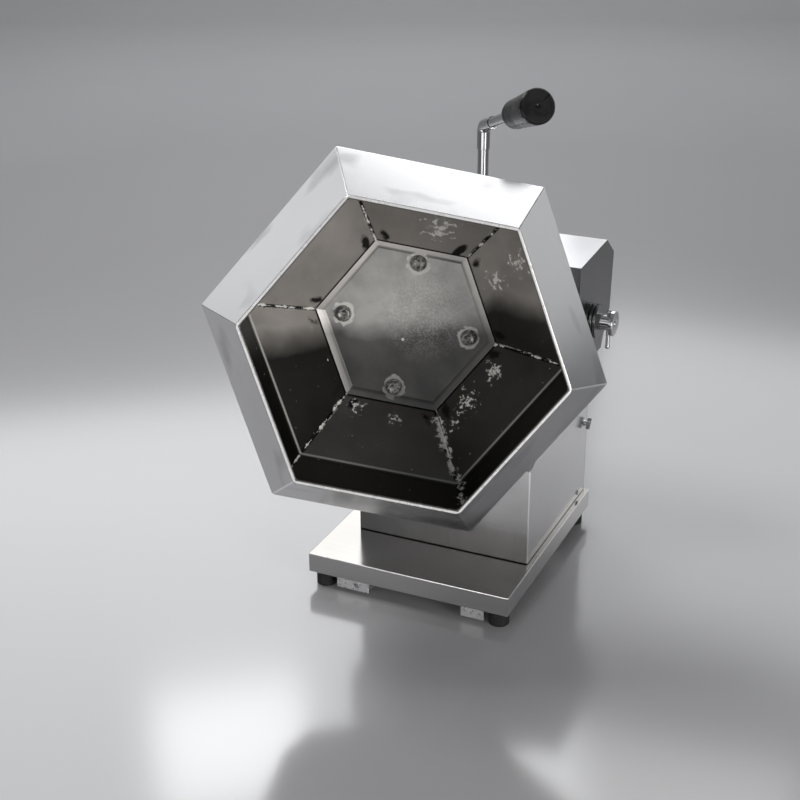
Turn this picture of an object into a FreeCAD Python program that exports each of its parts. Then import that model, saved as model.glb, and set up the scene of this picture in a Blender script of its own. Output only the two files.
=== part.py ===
import FreeCAD, Part
import math
import os

# Six-sided tilting mixer: a welded sheet drum turns on a shaft that leaves a tilting
# head, and the head hangs between two cheeks on a column that stands on a base tray.
# Millimetres, +Z up, +X to the machine's right, the drum mouth looks to -Y.

# Base tray and feet
base_width = 230.0
base_depth = 269.0
base_left_x = -124.0
base_front_y = -94.0
base_top_z = 39.0
base_flange = 22.0
base_sheet = 1.5
foot_radius = 11.0
foot_inset_x = 14.5
foot_inset_y = 14.0
foot_counterbore_radius = 6.0
foot_counterbore_depth = 12.0
foot_screw_radius = 2.5
foot_screw_head_radius = 5.0
foot_screw_head_height = 4.0
clip_sheet = 2.0
clip_depth = 14.0
clip_bottom_z = 5.0
clip_hole_radius = 3.0
left_clip_from_corner = 33.0
left_clip_width = 38.0
right_clip_from_corner = 27.0
right_clip_width = 26.0

# Column
column_width = 197.0
column_depth = 194.0
column_left_inset = 27.0
column_front_inset = 73.0
column_top_z = 166.0
column_front_top_z = 149.0
column_slope_depth = 46.0
column_sheet = 1.5
column_lip = 14.0
cover_screw_radius = 3.6
cover_screw_height = 2.2
cover_screw_inset = 7.0
cover_screw_from_end = 12.0
side_screw_from_rear = 25.0
side_screw_height = 7.0
side_screw_radius = 2.6
side_screw_head = 1.5

# Pivot of the head
pivot_y = 146.0
pivot_z = 260.5
pin_radius = 8.0
pin_flange_radius = 13.0
pin_flange = 4.0
cheek_thickness = 5.0
cheek_lobe_radius = 20.0
cheek_foot_width = 22.0
cheek_front_reach = 34.0
cheek_waist_front = 13.0
cheek_waist_drop = 62.0
cheek_rear_reach = 14.0
cheek_bolt_radius = 4.0
cheek_bolt_head = 4.0
cheek_bolt_from_end = 12.0
bolt_head_share = 1.7
pin_tail = 6.0
pin_thread_step = 3.0
keeper_width = 3.0
lug_radius = 22.0
lug_drop = 16.0
plate_gap = 0.5
running_clearance = 0.05
side_plate = 4.0
bush_wall = 3.0

# Hood of the head
hood_right_x = 101.0
hood_left_x = -135.0
hood_corner_x = 80.0
hood_front_y = 118.0
hood_sheet = 1.5
hood_front_top_z = 328.0
hood_rear_top_z = 333.0
hood_top_depth = 93.0
hood_depth = 122.0
hood_shoulder_drop = 22.0
hood_rear_lean = 6.0
hood_rear_foot_z = 235.0
hood_tuck_depth = 25.0
hood_tuck_z = 219.0
hood_lip_depth = 32.0
hood_bottom_z = 205.0
hood_screw_radius = 3.2
hood_screw_head = 2.0
hood_screw_from_side = 24.0
open_lip = 2.0
nose_clearance = 1.0
chassis_sheet = 4.0
chassis_bottom_z = 237.0
chassis_top_z = 309.0
chassis_reach = 12.0
tongue_radius = 91.0
tongue_rear_reach = 56.0
tongue_front_reach = 20.0
side_plate_corner = 8.0

# Clamp on the pivot
boss_radius = 19.5
boss_length = 6.0
washer_radius = 19.0
washer_length = 3.0
spacer_radius = 13.0
spacer_length = 1.2
sleeve_radius = 9.0
sleeve_length = 13.5
cap_radius = 14.0
cap_length = 4.6
cap_button_radius = 4.0
cap_button_height = 0.8
cap_edge_radius = 1.2
tommy_radius = 2.3
tommy_length = 40.0
tommy_bead_radius = 2.9
tommy_clearance = 0.15

# Drum
drum_y = -114.0
drum_z = 309.0
drum_yaw = 23.79
drum_rise = 11.17
drum_turn = 48.89
drum_sheet = 2.0
girth_radius = 200.0
mouth_radius = 157.5
mouth_depth = 67.0
shoulder_radius = 168.0
shoulder_depth = 50.0
back_radius = 97.0
back_depth = 102.0
back_flat_radius = 88.0
back_dish = 5.0
back_sheet = 3.0
rim_width = 4.5
rim_height = 3.5
rim_corner_radius = 5.0
rim_overhang = 1.0
bolt_circle_radius = 66.0
bolt_radius = 4.0
bolt_head_radius = 7.2
bolt_head_height = 5.0
bolt_washer_radius = 8.5
bolt_washer_height = 1.6
hub_flange_radius = 75.0
hub_flange = 6.0
hub_boss_radius = 20.0
hub_boss_length = 13.0
shaft_radius = 10.0

# Drive behind the head's front wall
housing_radius = 26.0
housing_nose_gap = 1.5
housing_tail = 12.0
housing_flange_radius = 39.0
housing_flange = 6.0
housing_screw_radius = 2.5
housing_screw_head = 4.0
housing_screw_circle = 33.0
bearing_radius = 21.0
bearing_width = 12.0
bearing_lip = 2.0
bearing_relief = 4.0
gear_module = 1.5
gear_teeth = 48
pinion_teeth = 32
gear_width = 12.0
gear_gap = 3.0
gear_backlash = 0.12
pressure_angle = 20.0
gear_hub_radius = 16.0
gear_hub_length = 5.0
pinion_shaft_radius = 6.0
motor_plate = 4.0
motor_plate_gap = 2.5
motor_plate_margin = 36.0
post_radius = 5.0
post_offset_y = 32.0
post_inner_u = 48.0
post_outer_u = 94.0
gearbox_radius = 30.0
gearbox_length = 30.0
motor_radius = 25.0
motor_length = 40.0
motor_cap_length = 6.0
motor_cap_step = 4.0
pinion_shaft_recess = 4.0
plate_overlap = 6.0

# Tilting handle
handle_x = -25.0
handle_y = 148.0
rod_radius = 6.0
socket_radius = 10.0
socket_height = 18.0
socket_flange_radius = 18.0
socket_flange = 4.0
socket_lift = 0.8
elbow_radius = 7.0
rod_seat = 3.0
elbow_start_z = 438.0
elbow_corner_z = 463.0
elbow_bend_radius = 8.5
elbow_length = 34.0
elbow_socket_depth = 16.0
arm_heading = -51.2
arm_rise = 18.7
arm_length = 165.0
grip_start = 100.0
grip_length = 81.0
grip_radius = 17.8
grip_neck_radius = 9.5
grip_edge = 1.6
grip_dimple_radius = 2.5
grip_dimple_depth = 1.2

# Switch and cable inlet
switch_from_rear = 10.2
switch_z = 128.0
switch_nut_radius = 3.6
switch_nut_height = 1.4
switch_bush_radius = 2.4
switch_bush_length = 2.4
switch_body_size = 12.0
switch_body_depth = 18.0
spindle_radius = 1.3
spindle_depth = 6.0
knob_radius = 2.8
knob_length = 3.6
knob_gap = 0.3
wing_length = 13.0
wing_width = 2.4
wing_proud = 1.0
wing_lean = 38.0
gland_radius = 9.0
gland_length = 12.0
gland_bore = 4.0
gland_nut_radius = 11.0
gland_nut_length = 5.0
gland_x = -60.0
gland_z = 70.0
gland_wall = 3.0
gland_tail = 3.0
control_box_width = 90.0
control_box_height = 60.0
control_box_depth = 40.0

V = FreeCAD.Vector
X = V(1, 0, 0)
Y = V(0, 1, 0)
Z = V(0, 0, 1)
far = 600.0

base_right_x = base_left_x + base_width
base_rear_y = base_front_y + base_depth
column_left_x = base_left_x + column_left_inset
column_right_x = column_left_x + column_width
column_front_y = base_front_y + column_front_inset
column_rear_y = column_front_y + column_depth
hood_rear_y = hood_front_y + hood_depth

parts = {}


def box(x0, x1, y0, y1, z0, z1):
    return Part.makeBox(x1 - x0, y1 - y0, z1 - z0, V(x0, y0, z0))


def rod(start, end, radius):
    return Part.makeCylinder(radius, (end - start).Length, start, end - start)


def ring(start, end, outer, inner):
    return rod(start, end, outer).cut(rod(start, end, inner))


def prism(points, direction):
    wire = Part.makePolygon([V(*p) for p in points] + [V(*points[0])])
    return Part.Face(wire).extrude(direction)


# The drum's own frame: x and y across the drum, z out of the mouth
def drum_placement():
    yaw = math.radians(drum_yaw)
    rise = math.radians(drum_rise)
    u = V(math.cos(yaw), math.sin(yaw), 0)
    n = V(math.sin(yaw) * math.cos(rise), -math.cos(yaw) * math.cos(rise), math.sin(rise))
    v = n.cross(u)
    m = FreeCAD.Matrix(u.x, v.x, n.x, 0, u.y, v.y, n.y, drum_y, u.z, v.z, n.z, drum_z, 0, 0, 0, 1)
    return FreeCAD.Placement(m)


def in_drum(shape):
    placed = shape.copy()
    placed.Placement = drum_placement().multiply(placed.Placement)
    return placed


def hexagon(radius, height):
    points = []
    for k in range(7):
        angle = math.radians(drum_turn + 60 * k)
        points.append(V(radius * math.cos(angle), radius * math.sin(angle), height))
    return Part.makePolygon(points)


def frustum(lower, upper):
    return Part.makeLoft([hexagon(*lower), hexagon(*upper)], True, True)


# Circumradius of the sheet's inner side at a height of the sloped wall
def inner_side(lower, upper, height):
    flat = math.cos(math.radians(30))
    run = (upper[0] - lower[0]) * flat
    climb = upper[1] - lower[1]
    shift = drum_sheet * math.hypot(run, climb) / climb
    share = (height - lower[1]) / climb
    return lower[0] + (upper[0] - lower[0]) * share - shift / flat


def sector(index):
    reach = 2 * girth_radius
    corners = [(0, 0, -far)]
    for k in (index, index + 1):
        angle = math.radians(drum_turn + 60 * k)
        corners.append((reach * math.cos(angle), reach * math.sin(angle), -far))
    return prism(corners, V(0, 0, 2 * far))


# Six folded wall panels from the back plate to the girth, and six from there to the mouth
def make_drum_panels():
    back = (back_radius, -back_depth)
    shoulder = (shoulder_radius, -shoulder_depth)
    girth = (girth_radius, 0.0)
    mouth = (mouth_radius, mouth_depth)
    back_in = (inner_side(back, shoulder, -back_depth), -back_depth)
    low = inner_side(back, shoulder, -shoulder_depth)
    high = inner_side(shoulder, girth, -shoulder_depth)
    shoulder_in = (min(low, high), -shoulder_depth)
    girth_in = (inner_side(shoulder, girth, 0.0), 0.0)
    front_in = (inner_side(girth, mouth, 0.0), 0.0)
    mouth_in = (inner_side(girth, mouth, mouth_depth), mouth_depth)
    wall = frustum(back, shoulder).fuse(frustum(shoulder, girth))
    wall = wall.cut(frustum(back_in, shoulder_in)).cut(frustum(shoulder_in, girth_in))
    front = frustum(girth, mouth).cut(frustum(front_in, mouth_in))
    for k in range(6):
        piece = sector(k)
        parts["wall_panel_%d" % (k + 1)] = in_drum(wall.common(piece).removeSplitter())
        parts["front_panel_%d" % (k + 1)] = in_drum(front.common(piece).removeSplitter())


def bolt_places():
    places = []
    for k in range(4):
        angle = math.radians(drum_turn + 30 + 90 * k)
        places.append((bolt_circle_radius * math.cos(angle), bolt_circle_radius * math.sin(angle)))
    return places


# Dished back plate: a flat floor for the hub and a sloped rim up to the walls
def make_back_plate():
    floor = -back_depth - back_dish
    plate = frustum((back_flat_radius, floor - back_sheet), (back_radius, -back_depth))
    dish_radius = back_radius - back_sheet
    plate = plate.cut(frustum((back_flat_radius - back_sheet, floor), (dish_radius, -back_depth)))
    for x, y in bolt_places():
        plate = plate.cut(rod(V(x, y, floor - far), V(x, y, floor + far), bolt_radius))
    parts["back_plate"] = in_drum(plate)


# Rounded bar welded round the mouth
def make_mouth_rim():
    outer = mouth_radius + rim_overhang
    inner = outer - rim_width
    face = Part.Face(hexagon(outer, mouth_depth))
    bar = face.extrude(V(0, 0, rim_height))
    corners = [e for e in bar.Edges if abs(e.tangentAt(0).z) > 0.9]
    bar = bar.makeFillet(rim_corner_radius + rim_width, corners)
    hole = Part.Face(hexagon(inner, mouth_depth)).extrude(V(0, 0, rim_height))
    corners = [e for e in hole.Edges if abs(e.tangentAt(0).z) > 0.9]
    hole = hole.makeFillet(rim_corner_radius, corners)
    parts["mouth_rim"] = in_drum(bar.cut(hole))


hub_face = -back_depth - back_dish - back_sheet
hub_back = hub_face - hub_flange
hub_end = hub_back - hub_boss_length


# Hub flange with its four bolts, and the shaft that it is keyed to
def make_hub():
    hub = rod(V(0, 0, hub_back), V(0, 0, hub_face), hub_flange_radius)
    hub = hub.fuse(rod(V(0, 0, hub_end), V(0, 0, hub_back), hub_boss_radius))
    hub = hub.cut(rod(V(0, 0, hub_end), V(0, 0, hub_face), shaft_radius))
    bolts = []
    inside = hub_face + back_sheet
    for x, y in bolt_places():
        hub = hub.cut(rod(V(x, y, hub_back), V(x, y, hub_face), bolt_radius))
        head_top = inside + bolt_washer_height + bolt_head_height
        washer_top = inside + bolt_washer_height
        bolt = rod(V(x, y, hub_back - bolt_head_height), V(x, y, washer_top), bolt_radius)
        bolt = bolt.fuse(rod(V(x, y, inside), V(x, y, washer_top), bolt_washer_radius))
        bolt = bolt.fuse(hex_bar(x, y, washer_top, head_top, bolt_head_radius))
        bolt = bolt.fuse(hex_bar(x, y, hub_back - bolt_head_height, hub_back, bolt_head_radius))
        bolts.append(bolt)
    parts["drum_hub"] = in_drum(hub)
    parts["hub_bolts"] = in_drum(Part.makeCompound(bolts))


def hex_bar(x, y, z0, z1, radius):
    points = []
    for k in range(6):
        angle = math.radians(60 * k)
        points.append((x + radius * math.cos(angle), y + radius * math.sin(angle), z0))
    return prism(points, V(0, 0, z1 - z0))


# Distance behind the drum centre of the head's front wall, along its level normal
yaw_rad = math.radians(drum_yaw)
level_out = V(math.sin(yaw_rad), -math.cos(yaw_rad), 0)
level_side = V(math.cos(yaw_rad), math.sin(yaw_rad), 0)
wall_corner = V(hood_corner_x, hood_front_y, 0)
wall_distance = (wall_corner - V(0, drum_y, 0)).dot(level_out)
lean = math.cos(math.radians(drum_rise))
wall_on_axis = wall_distance / lean
tail_end = wall_on_axis - (hood_sheet + chassis_sheet) / lean - housing_tail
gear_front = tail_end - gear_gap
gear_back = gear_front - gear_width
shaft_end = gear_back - gear_hub_length
centre_distance = gear_module * (gear_teeth + pinion_teeth) / 2
plate_front = gear_back - motor_plate_gap
plate_back = plate_front - motor_plate
nose_front = hub_end - housing_nose_gap
front_bearing_z = nose_front - bearing_lip - bearing_width
rear_bearing_z = tail_end + bearing_lip


def make_shaft_and_bearings():
    parts["drum_shaft"] = in_drum(rod(V(0, 0, shaft_end), V(0, 0, hub_face), shaft_radius))
    inner = shaft_radius + running_clearance
    bearings = []
    for low in (front_bearing_z, rear_bearing_z):
        bearings.append(ring(V(0, 0, low), V(0, 0, low + bearing_width), bearing_radius, inner))
    parts["shaft_bearings"] = in_drum(Part.makeCompound(bearings))


# Point on the drum axis, in the machine's frame
def on_axis(distance):
    return drum_placement().multVec(V(0, 0, distance))


# Bearing housing: a nose along the drum axis on an upright flange screwed to the wall
def make_bearing_housing():
    nose = in_drum(rod(V(0, 0, tail_end), V(0, 0, nose_front), housing_radius))
    centre = on_axis(wall_on_axis)
    housing = nose.fuse(rod(centre, centre + level_out * housing_flange, housing_flange_radius))
    bore = rod(V(0, 0, tail_end), V(0, 0, nose_front), bearing_radius - bearing_relief)
    for low in (front_bearing_z, rear_bearing_z):
        bore = bore.fuse(rod(V(0, 0, low), V(0, 0, low + bearing_width), bearing_radius))
    housing = housing.cut(in_drum(bore))
    screws = []
    for k in range(4):
        angle = math.radians(45 + 90 * k)
        offset = level_side * (housing_screw_circle * math.cos(angle))
        offset = offset + Z * (housing_screw_circle * math.sin(angle))
        face = centre + offset + level_out * housing_flange
        through = housing_flange + hood_sheet + chassis_sheet
        shank = rod(face - level_out * through, face, housing_screw_radius)
        housing = housing.cut(shank)
        head = rod(face, face + level_out * housing_screw_radius, housing_screw_head)
        screws.append(shank.fuse(head))
    parts["bearing_housing"] = housing
    parts["housing_screws"] = Part.makeCompound(screws)


# Spur gear with involute flanks, tooth centres at multiples of the pitch plus a turn
def spur_gear(teeth, low, high, turn, bore):
    pitch = gear_module * teeth / 2
    base = pitch * math.cos(math.radians(pressure_angle))
    root = pitch - 1.25 * gear_module
    tip = pitch + gear_module
    involute = math.tan(math.radians(pressure_angle)) - math.radians(pressure_angle)
    half_tooth = math.pi / (2 * teeth) - gear_backlash / (2 * pitch)

    def half_angle(radius):
        roll = math.acos(min(1.0, base / radius))
        return half_tooth + involute - (math.tan(roll) - roll)

    flank = [root, pitch, tip]
    points = []
    for k in range(teeth):
        middle = math.radians(turn) + 2 * math.pi * k / teeth
        for r in flank:
            points.append((r, middle - half_angle(max(r, base))))
        for r in reversed(flank):
            points.append((r, middle + half_angle(max(r, base))))
    corners = [(r * math.cos(a), r * math.sin(a), low) for r, a in points]
    gear = prism(corners, V(0, 0, high - low))
    return gear.cut(rod(V(0, 0, low), V(0, 0, high), bore))


def make_gears():
    gear = spur_gear(gear_teeth, gear_back, gear_front, 0.0, shaft_radius)
    hub_ring = ring(V(0, 0, shaft_end), V(0, 0, gear_back), gear_hub_radius, shaft_radius)
    parts["drive_gear"] = in_drum(gear.fuse(hub_ring))
    pinion = spur_gear(pinion_teeth, gear_back, gear_front, 180.0 / pinion_teeth, pinion_shaft_radius)
    shaft = rod(V(0, 0, plate_back), V(0, 0, gear_front), pinion_shaft_radius)
    pinion = pinion.fuse(shaft)
    pinion.translate(V(centre_distance, 0, 0))
    parts["drive_pinion"] = in_drum(pinion)


# Gear motor on a plate that four posts hold off the chassis
def make_motor():
    c = centre_distance
    plate = box(c - gearbox_radius - plate_overlap, c + motor_plate_margin, -motor_plate_margin,
                motor_plate_margin, plate_back, plate_front)
    hole = pinion_shaft_radius + running_clearance
    plate = plate.cut(rod(V(c, 0, plate_back), V(c, 0, plate_front), hole))
    parts["motor_plate"] = in_drum(plate)
    half = box(-far, far, -(wall_distance - hood_sheet - chassis_sheet), 2 * far, -far, far)
    half.Placement = FreeCAD.Placement(V(0, drum_y, 0), FreeCAD.Rotation(Z, drum_yaw))
    posts = []
    for u in (post_inner_u, post_outer_u):
        for y in (-post_offset_y, post_offset_y):
            post = in_drum(rod(V(u, y, plate_front), V(u, y, wall_on_axis + far / 4), post_radius))
            posts.append(post.common(half))
    parts["motor_posts"] = Part.makeCompound(posts)
    box_end = plate_back - gearbox_length
    motor_end = box_end - motor_length
    bore = rod(V(c, 0, plate_back - pinion_shaft_recess), V(c, 0, plate_back), hole)
    gearbox = rod(V(c, 0, box_end), V(c, 0, plate_back), gearbox_radius).cut(bore)
    parts["gearbox"] = in_drum(gearbox)
    motor = rod(V(c, 0, motor_end), V(c, 0, box_end), motor_radius)
    cap_end = motor_end - motor_cap_length
    motor = motor.fuse(rod(V(c, 0, cap_end), V(c, 0, motor_end), motor_radius - motor_cap_step))
    parts["motor_body"] = in_drum(motor)


# Offsets a convex outline inwards; the outline runs anticlockwise
def inset(points, distance):
    lines = []
    count = len(points)
    for i in range(count):
        ax, ay = points[i]
        bx, by = points[(i + 1) % count]
        length = math.hypot(bx - ax, by - ay)
        nx = -(by - ay) / length
        ny = (bx - ax) / length
        lines.append((ax + nx * distance, ay + ny * distance, bx - ax, by - ay))
    moved = []
    for i in range(count):
        px, py, pdx, pdy = lines[i - 1]
        qx, qy, qdx, qdy = lines[i]
        cross = pdx * qdy - pdy * qdx
        t = ((qx - px) * qdy - (qy - py) * qdx) / cross
        moved.append((px + pdx * t, py + pdy * t))
    return moved


def hood_plan():
    run = hood_corner_x - hood_left_x
    left_front = hood_front_y - run * math.tan(yaw_rad)
    return [(hood_right_x, hood_front_y), (hood_right_x, hood_rear_y), (hood_left_x, hood_rear_y),
            (hood_left_x, left_front), (hood_corner_x, hood_front_y)]


# Side outline of the hood in Y and Z, anticlockwise seen from +X
def hood_profile():
    top_rear = hood_front_y + hood_top_depth
    return [(hood_front_y - far / 2, hood_bottom_z),
            (hood_front_y + hood_depth - hood_lip_depth, hood_bottom_z),
            (hood_front_y + hood_depth - hood_tuck_depth, hood_tuck_z),
            (hood_rear_y - hood_rear_lean, hood_rear_foot_z),
            (hood_rear_y, hood_rear_top_z - hood_shoulder_drop),
            (top_rear, hood_rear_top_z),
            (hood_front_y, hood_front_top_z),
            (hood_front_y - far / 2, hood_front_top_z)]


# The hood's volume, shrunk by a distance on every side and cut to a height range
def hood_volume(distance, low, high):
    plan = [(x, y, -far) for x, y in inset(hood_plan(), distance)]
    upright = prism(plan, V(0, 0, 3 * far))
    side = [(-far, y, z) for y, z in inset(hood_profile(), distance)]
    across = prism(side, V(2 * far, 0, 0))
    return upright.common(across).common(box(-far, far, -far, far, low, high))


# Folded hood with its open underside, screwed to a welded ring frame inside it
def make_hood():
    outer = hood_volume(0, hood_bottom_z, far)
    below = [(x, y, hood_bottom_z - open_lip) for x, y in inset(hood_plan(), hood_sheet)]
    lower = prism(below, V(0, 0, 2 * open_lip))
    lip_y = hood_rear_y - hood_lip_depth - 2 * hood_sheet
    lower = lower.common(box(-far, far, -far, lip_y, -far, far))
    inner = hood_volume(hood_sheet, -far, far)
    hood = outer.cut(inner.fuse(lower))
    ring_frame = hood_volume(hood_sheet, chassis_bottom_z, chassis_top_z)
    ring_frame = ring_frame.cut(hood_volume(hood_sheet + chassis_sheet, -far, far))
    centre = on_axis(wall_on_axis)
    nose = in_drum(rod(V(0, 0, tail_end - nose_clearance), V(0, 0, nose_front), housing_radius))
    hood = hood.cut(nose)
    ring_frame = ring_frame.cut(nose)
    for k in range(4):
        angle = math.radians(45 + 90 * k)
        offset = level_side * (housing_screw_circle * math.cos(angle))
        offset = offset + Z * (housing_screw_circle * math.sin(angle))
        spot = centre + offset
        hole = rod(spot - level_out * chassis_reach, spot + level_out * chassis_reach, housing_screw_radius)
        hood = hood.cut(hole)
        ring_frame = ring_frame.cut(hole)
    bush_outer = pin_radius + running_clearance + bush_wall
    inside_x = hood_right_x - chassis_reach
    hole = rod(V(inside_x, pivot_y, pivot_z), V(hood_right_x + hood_sheet, pivot_y, pivot_z), bush_outer)
    hood = hood.cut(hole)
    side_x = hood_right_x - hood_sheet - chassis_sheet - nose_clearance
    side_zone = box(side_x, hood_right_x, -far, far, -far, far)
    ring_frame = ring_frame.cut(side_zone)
    outline = side_plate_outline()
    right_x = hood_right_x - hood_sheet - side_plate
    plate = prism([(right_x, y, z) for y, z in outline], V(side_plate, 0, 0))
    tongue = tongue_shape(right_x)
    plate = plate.fuse(tongue).removeSplitter().cut(hole)
    parts["side_plate_right"] = plate
    lug = lug_shape().cut(rod(V(-far, pivot_y, pivot_z), V(0, pivot_y, pivot_z), bush_outer))
    parts["side_plate_left"] = lug
    parts["hood"] = hood
    parts["tilt_chassis"] = ring_frame
    parts["hood_screws"] = make_hood_screws()


# Screws in a row along the hood's leaning rear wall, into the ring frame behind it
def make_hood_screws():
    climb = hood_rear_top_z - hood_shoulder_drop - hood_rear_foot_z
    out = V(0, climb, -hood_rear_lean).normalize()
    z = (chassis_bottom_z + chassis_top_z) / 2
    y = hood_rear_y - hood_rear_lean * (1 - (z - hood_rear_foot_z) / climb)
    first = hood_left_x + hood_screw_from_side
    last = hood_right_x - hood_screw_from_side
    screws = []
    for k in range(4):
        at = V(first + (last - first) * k / 3, y, z)
        screws.append(rod(at, at + out * hood_screw_head, hood_screw_radius))
    return Part.makeCompound(screws)


plate_rear = hood_rear_y - hood_rear_lean - hood_sheet - chassis_sheet - nose_clearance


def side_plate_outline():
    front = hood_front_y + hood_sheet + nose_clearance
    corner = side_plate_corner
    return [(front, chassis_bottom_z), (plate_rear - corner, chassis_bottom_z),
            (plate_rear, chassis_bottom_z + corner), (plate_rear, chassis_top_z), (front, chassis_top_z)]


# Lower lobe of the right side plate: it hides the gap above the column as the head tilts
def tongue_shape(x):
    disc = Part.makeCylinder(tongue_radius, side_plate, V(x, pivot_y, pivot_z), X)
    window = box(x, x + side_plate, pivot_y - tongue_front_reach, pivot_y + tongue_rear_reach,
                 pivot_z - tongue_radius, chassis_bottom_z)
    return disc.common(window)


cheek_left_in = -(hood_right_x - hood_sheet - side_plate - plate_gap - cheek_thickness)
cheek_left_out = cheek_left_in - cheek_thickness
cheek_right_in = -cheek_left_in
cheek_right_out = -cheek_left_out


def lug_shape():
    x0 = cheek_left_out - plate_gap - side_plate
    lobe = Part.makeCylinder(lug_radius, side_plate, V(x0, pivot_y, pivot_z), X)
    arm = box(x0, x0 + side_plate, pivot_y, plate_rear, pivot_z - lug_drop, pivot_z + lug_radius)
    return lobe.fuse(arm).removeSplitter()


def cheek_bolt_rows():
    front = pivot_y - cheek_front_reach + cheek_bolt_from_end
    rear = pivot_y + cheek_rear_reach - cheek_bolt_from_end
    return (front, rear)


# Upright cheeks on the column that carry the pivot pins
def make_cheeks():
    bolts = []
    sides = (("left", cheek_left_in, cheek_left_out), ("right", cheek_right_in, cheek_right_out))
    for name, x_in, x_out in sides:
        low = min(x_in, x_out)
        lobe = Part.makeCylinder(cheek_lobe_radius, cheek_thickness, V(low, pivot_y, pivot_z), X)
        outline = [(low, pivot_y - cheek_front_reach, column_top_z),
                   (low, pivot_y + cheek_rear_reach, column_top_z),
                   (low, pivot_y + cheek_lobe_radius, pivot_z),
                   (low, pivot_y - cheek_lobe_radius, pivot_z),
                   (low, pivot_y - cheek_waist_front, pivot_z - cheek_waist_drop)]
        web = prism(outline, V(cheek_thickness, 0, 0))
        way = 1 if name == "left" else -1
        edge = x_in + way * cheek_foot_width
        foot = box(min(x_in, edge), max(x_in, edge), pivot_y - cheek_front_reach,
                   pivot_y + cheek_rear_reach, column_top_z, column_top_z + cheek_thickness)
        cheek = lobe.fuse(web).fuse(foot)
        eye = rod(V(low, pivot_y, pivot_z), V(low + cheek_thickness, pivot_y, pivot_z), pin_radius)
        cheek = cheek.cut(eye)
        bolt_x = x_in + way * (cheek_foot_width / 2)
        for y in cheek_bolt_rows():
            top = column_top_z + cheek_thickness
            bottom = column_top_z - column_sheet
            shank = rod(V(bolt_x, y, bottom), V(bolt_x, y, top), cheek_bolt_radius)
            cheek = cheek.cut(shank)
            head_radius = bolt_head_share * cheek_bolt_radius
            head = hex_bar(bolt_x, y, top, top + cheek_bolt_head, head_radius)
            nut = hex_bar(bolt_x, y, bottom - cheek_bolt_head, bottom, head_radius)
            bolts.append(shank.fuse(head).fuse(nut))
        parts["pivot_cheek_%s" % name] = cheek.removeSplitter()
    parts["cheek_bolts"] = Part.makeCompound(bolts)


# Pivot pins, their bushes, and the screw clamp on the right one
def make_pivot():
    bush_inner = pin_radius + running_clearance
    bush_outer = bush_inner + bush_wall

    def at(x):
        return V(x, pivot_y, pivot_z)

    plate_in = hood_right_x - hood_sheet - side_plate
    boss_end = hood_right_x + boss_length
    stack = boss_end + plate_gap
    washers = []
    for k in range(2):
        start = stack + k * (washer_length + spacer_length)
        washers.append(ring(at(start), at(start + spacer_length), spacer_radius, pin_radius))
        start = start + spacer_length
        washers.append(ring(at(start), at(start + washer_length), washer_radius, pin_radius))
    sleeve_start = stack + 2 * (washer_length + spacer_length) + running_clearance
    sleeve_end = sleeve_start + sleeve_length
    cap_end = sleeve_end + cap_length
    pin = rod(at(cheek_right_in - pin_flange), at(cheek_right_in), pin_flange_radius)
    pin = pin.fuse(rod(at(cheek_right_in), at(sleeve_start), pin_radius))
    thread_radius = pin_radius - pin_thread_step
    thread_end = sleeve_start + sleeve_length / 3
    pin = pin.fuse(rod(at(sleeve_start), at(thread_end), thread_radius))
    parts["pivot_pin_right"] = pin
    bushes = [ring(at(plate_in), at(hood_right_x), bush_outer, bush_inner)]
    parts["pivot_boss"] = ring(at(hood_right_x), at(boss_end), boss_radius, bush_inner)
    first = washers[0].fuse(washers[1])
    second = washers[2].fuse(washers[3])
    parts["clamp_washers"] = first.fuse(second)
    sleeve = rod(at(sleeve_start), at(sleeve_end), sleeve_radius)
    sleeve = sleeve.cut(rod(at(sleeve_start), at(thread_end + plate_gap), thread_radius + running_clearance))
    bar_x = sleeve_end - tommy_bead_radius - tommy_clearance
    hole_radius = tommy_radius + tommy_clearance
    hole = rod(V(bar_x, pivot_y, pivot_z - far), V(bar_x, pivot_y, pivot_z + far), hole_radius)
    parts["clamp_sleeve"] = sleeve.cut(hole)
    cap = rod(at(sleeve_end), at(cap_end), cap_radius)
    edges = [e for e in cap.Edges if abs(e.BoundBox.XMin - cap_end) < 0.01 and e.Length > cap_radius]
    cap = cap.makeFillet(cap_edge_radius, edges)
    parts["clamp_cap"] = cap.fuse(rod(at(cap_end), at(cap_end + cap_button_height), cap_button_radius))
    bead_top = pivot_z + sleeve_radius + tommy_bead_radius + plate_gap
    bead_bottom = bead_top - tommy_length
    bar = rod(V(bar_x, pivot_y, bead_bottom), V(bar_x, pivot_y, bead_top), tommy_radius)
    for z in (bead_top, bead_bottom):
        bar = bar.fuse(Part.makeSphere(tommy_bead_radius, V(bar_x, pivot_y, z)))
    parts["tommy_bar"] = bar
    left_plate_out = cheek_left_out - plate_gap - side_plate
    pin = rod(at(cheek_left_in), at(cheek_left_in + pin_flange), pin_flange_radius)
    pin = pin.fuse(rod(at(left_plate_out - pin_tail), at(cheek_left_in), pin_radius))
    parts["pivot_pin_left"] = pin
    bushes.append(ring(at(left_plate_out), at(left_plate_out + side_plate), bush_outer, bush_inner))
    parts["pivot_bushes"] = Part.makeCompound(bushes)
    keeper_x = left_plate_out - plate_gap
    parts["pin_keeper"] = ring(at(keeper_x - keeper_width), at(keeper_x), pin_flange_radius, pin_radius)


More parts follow.
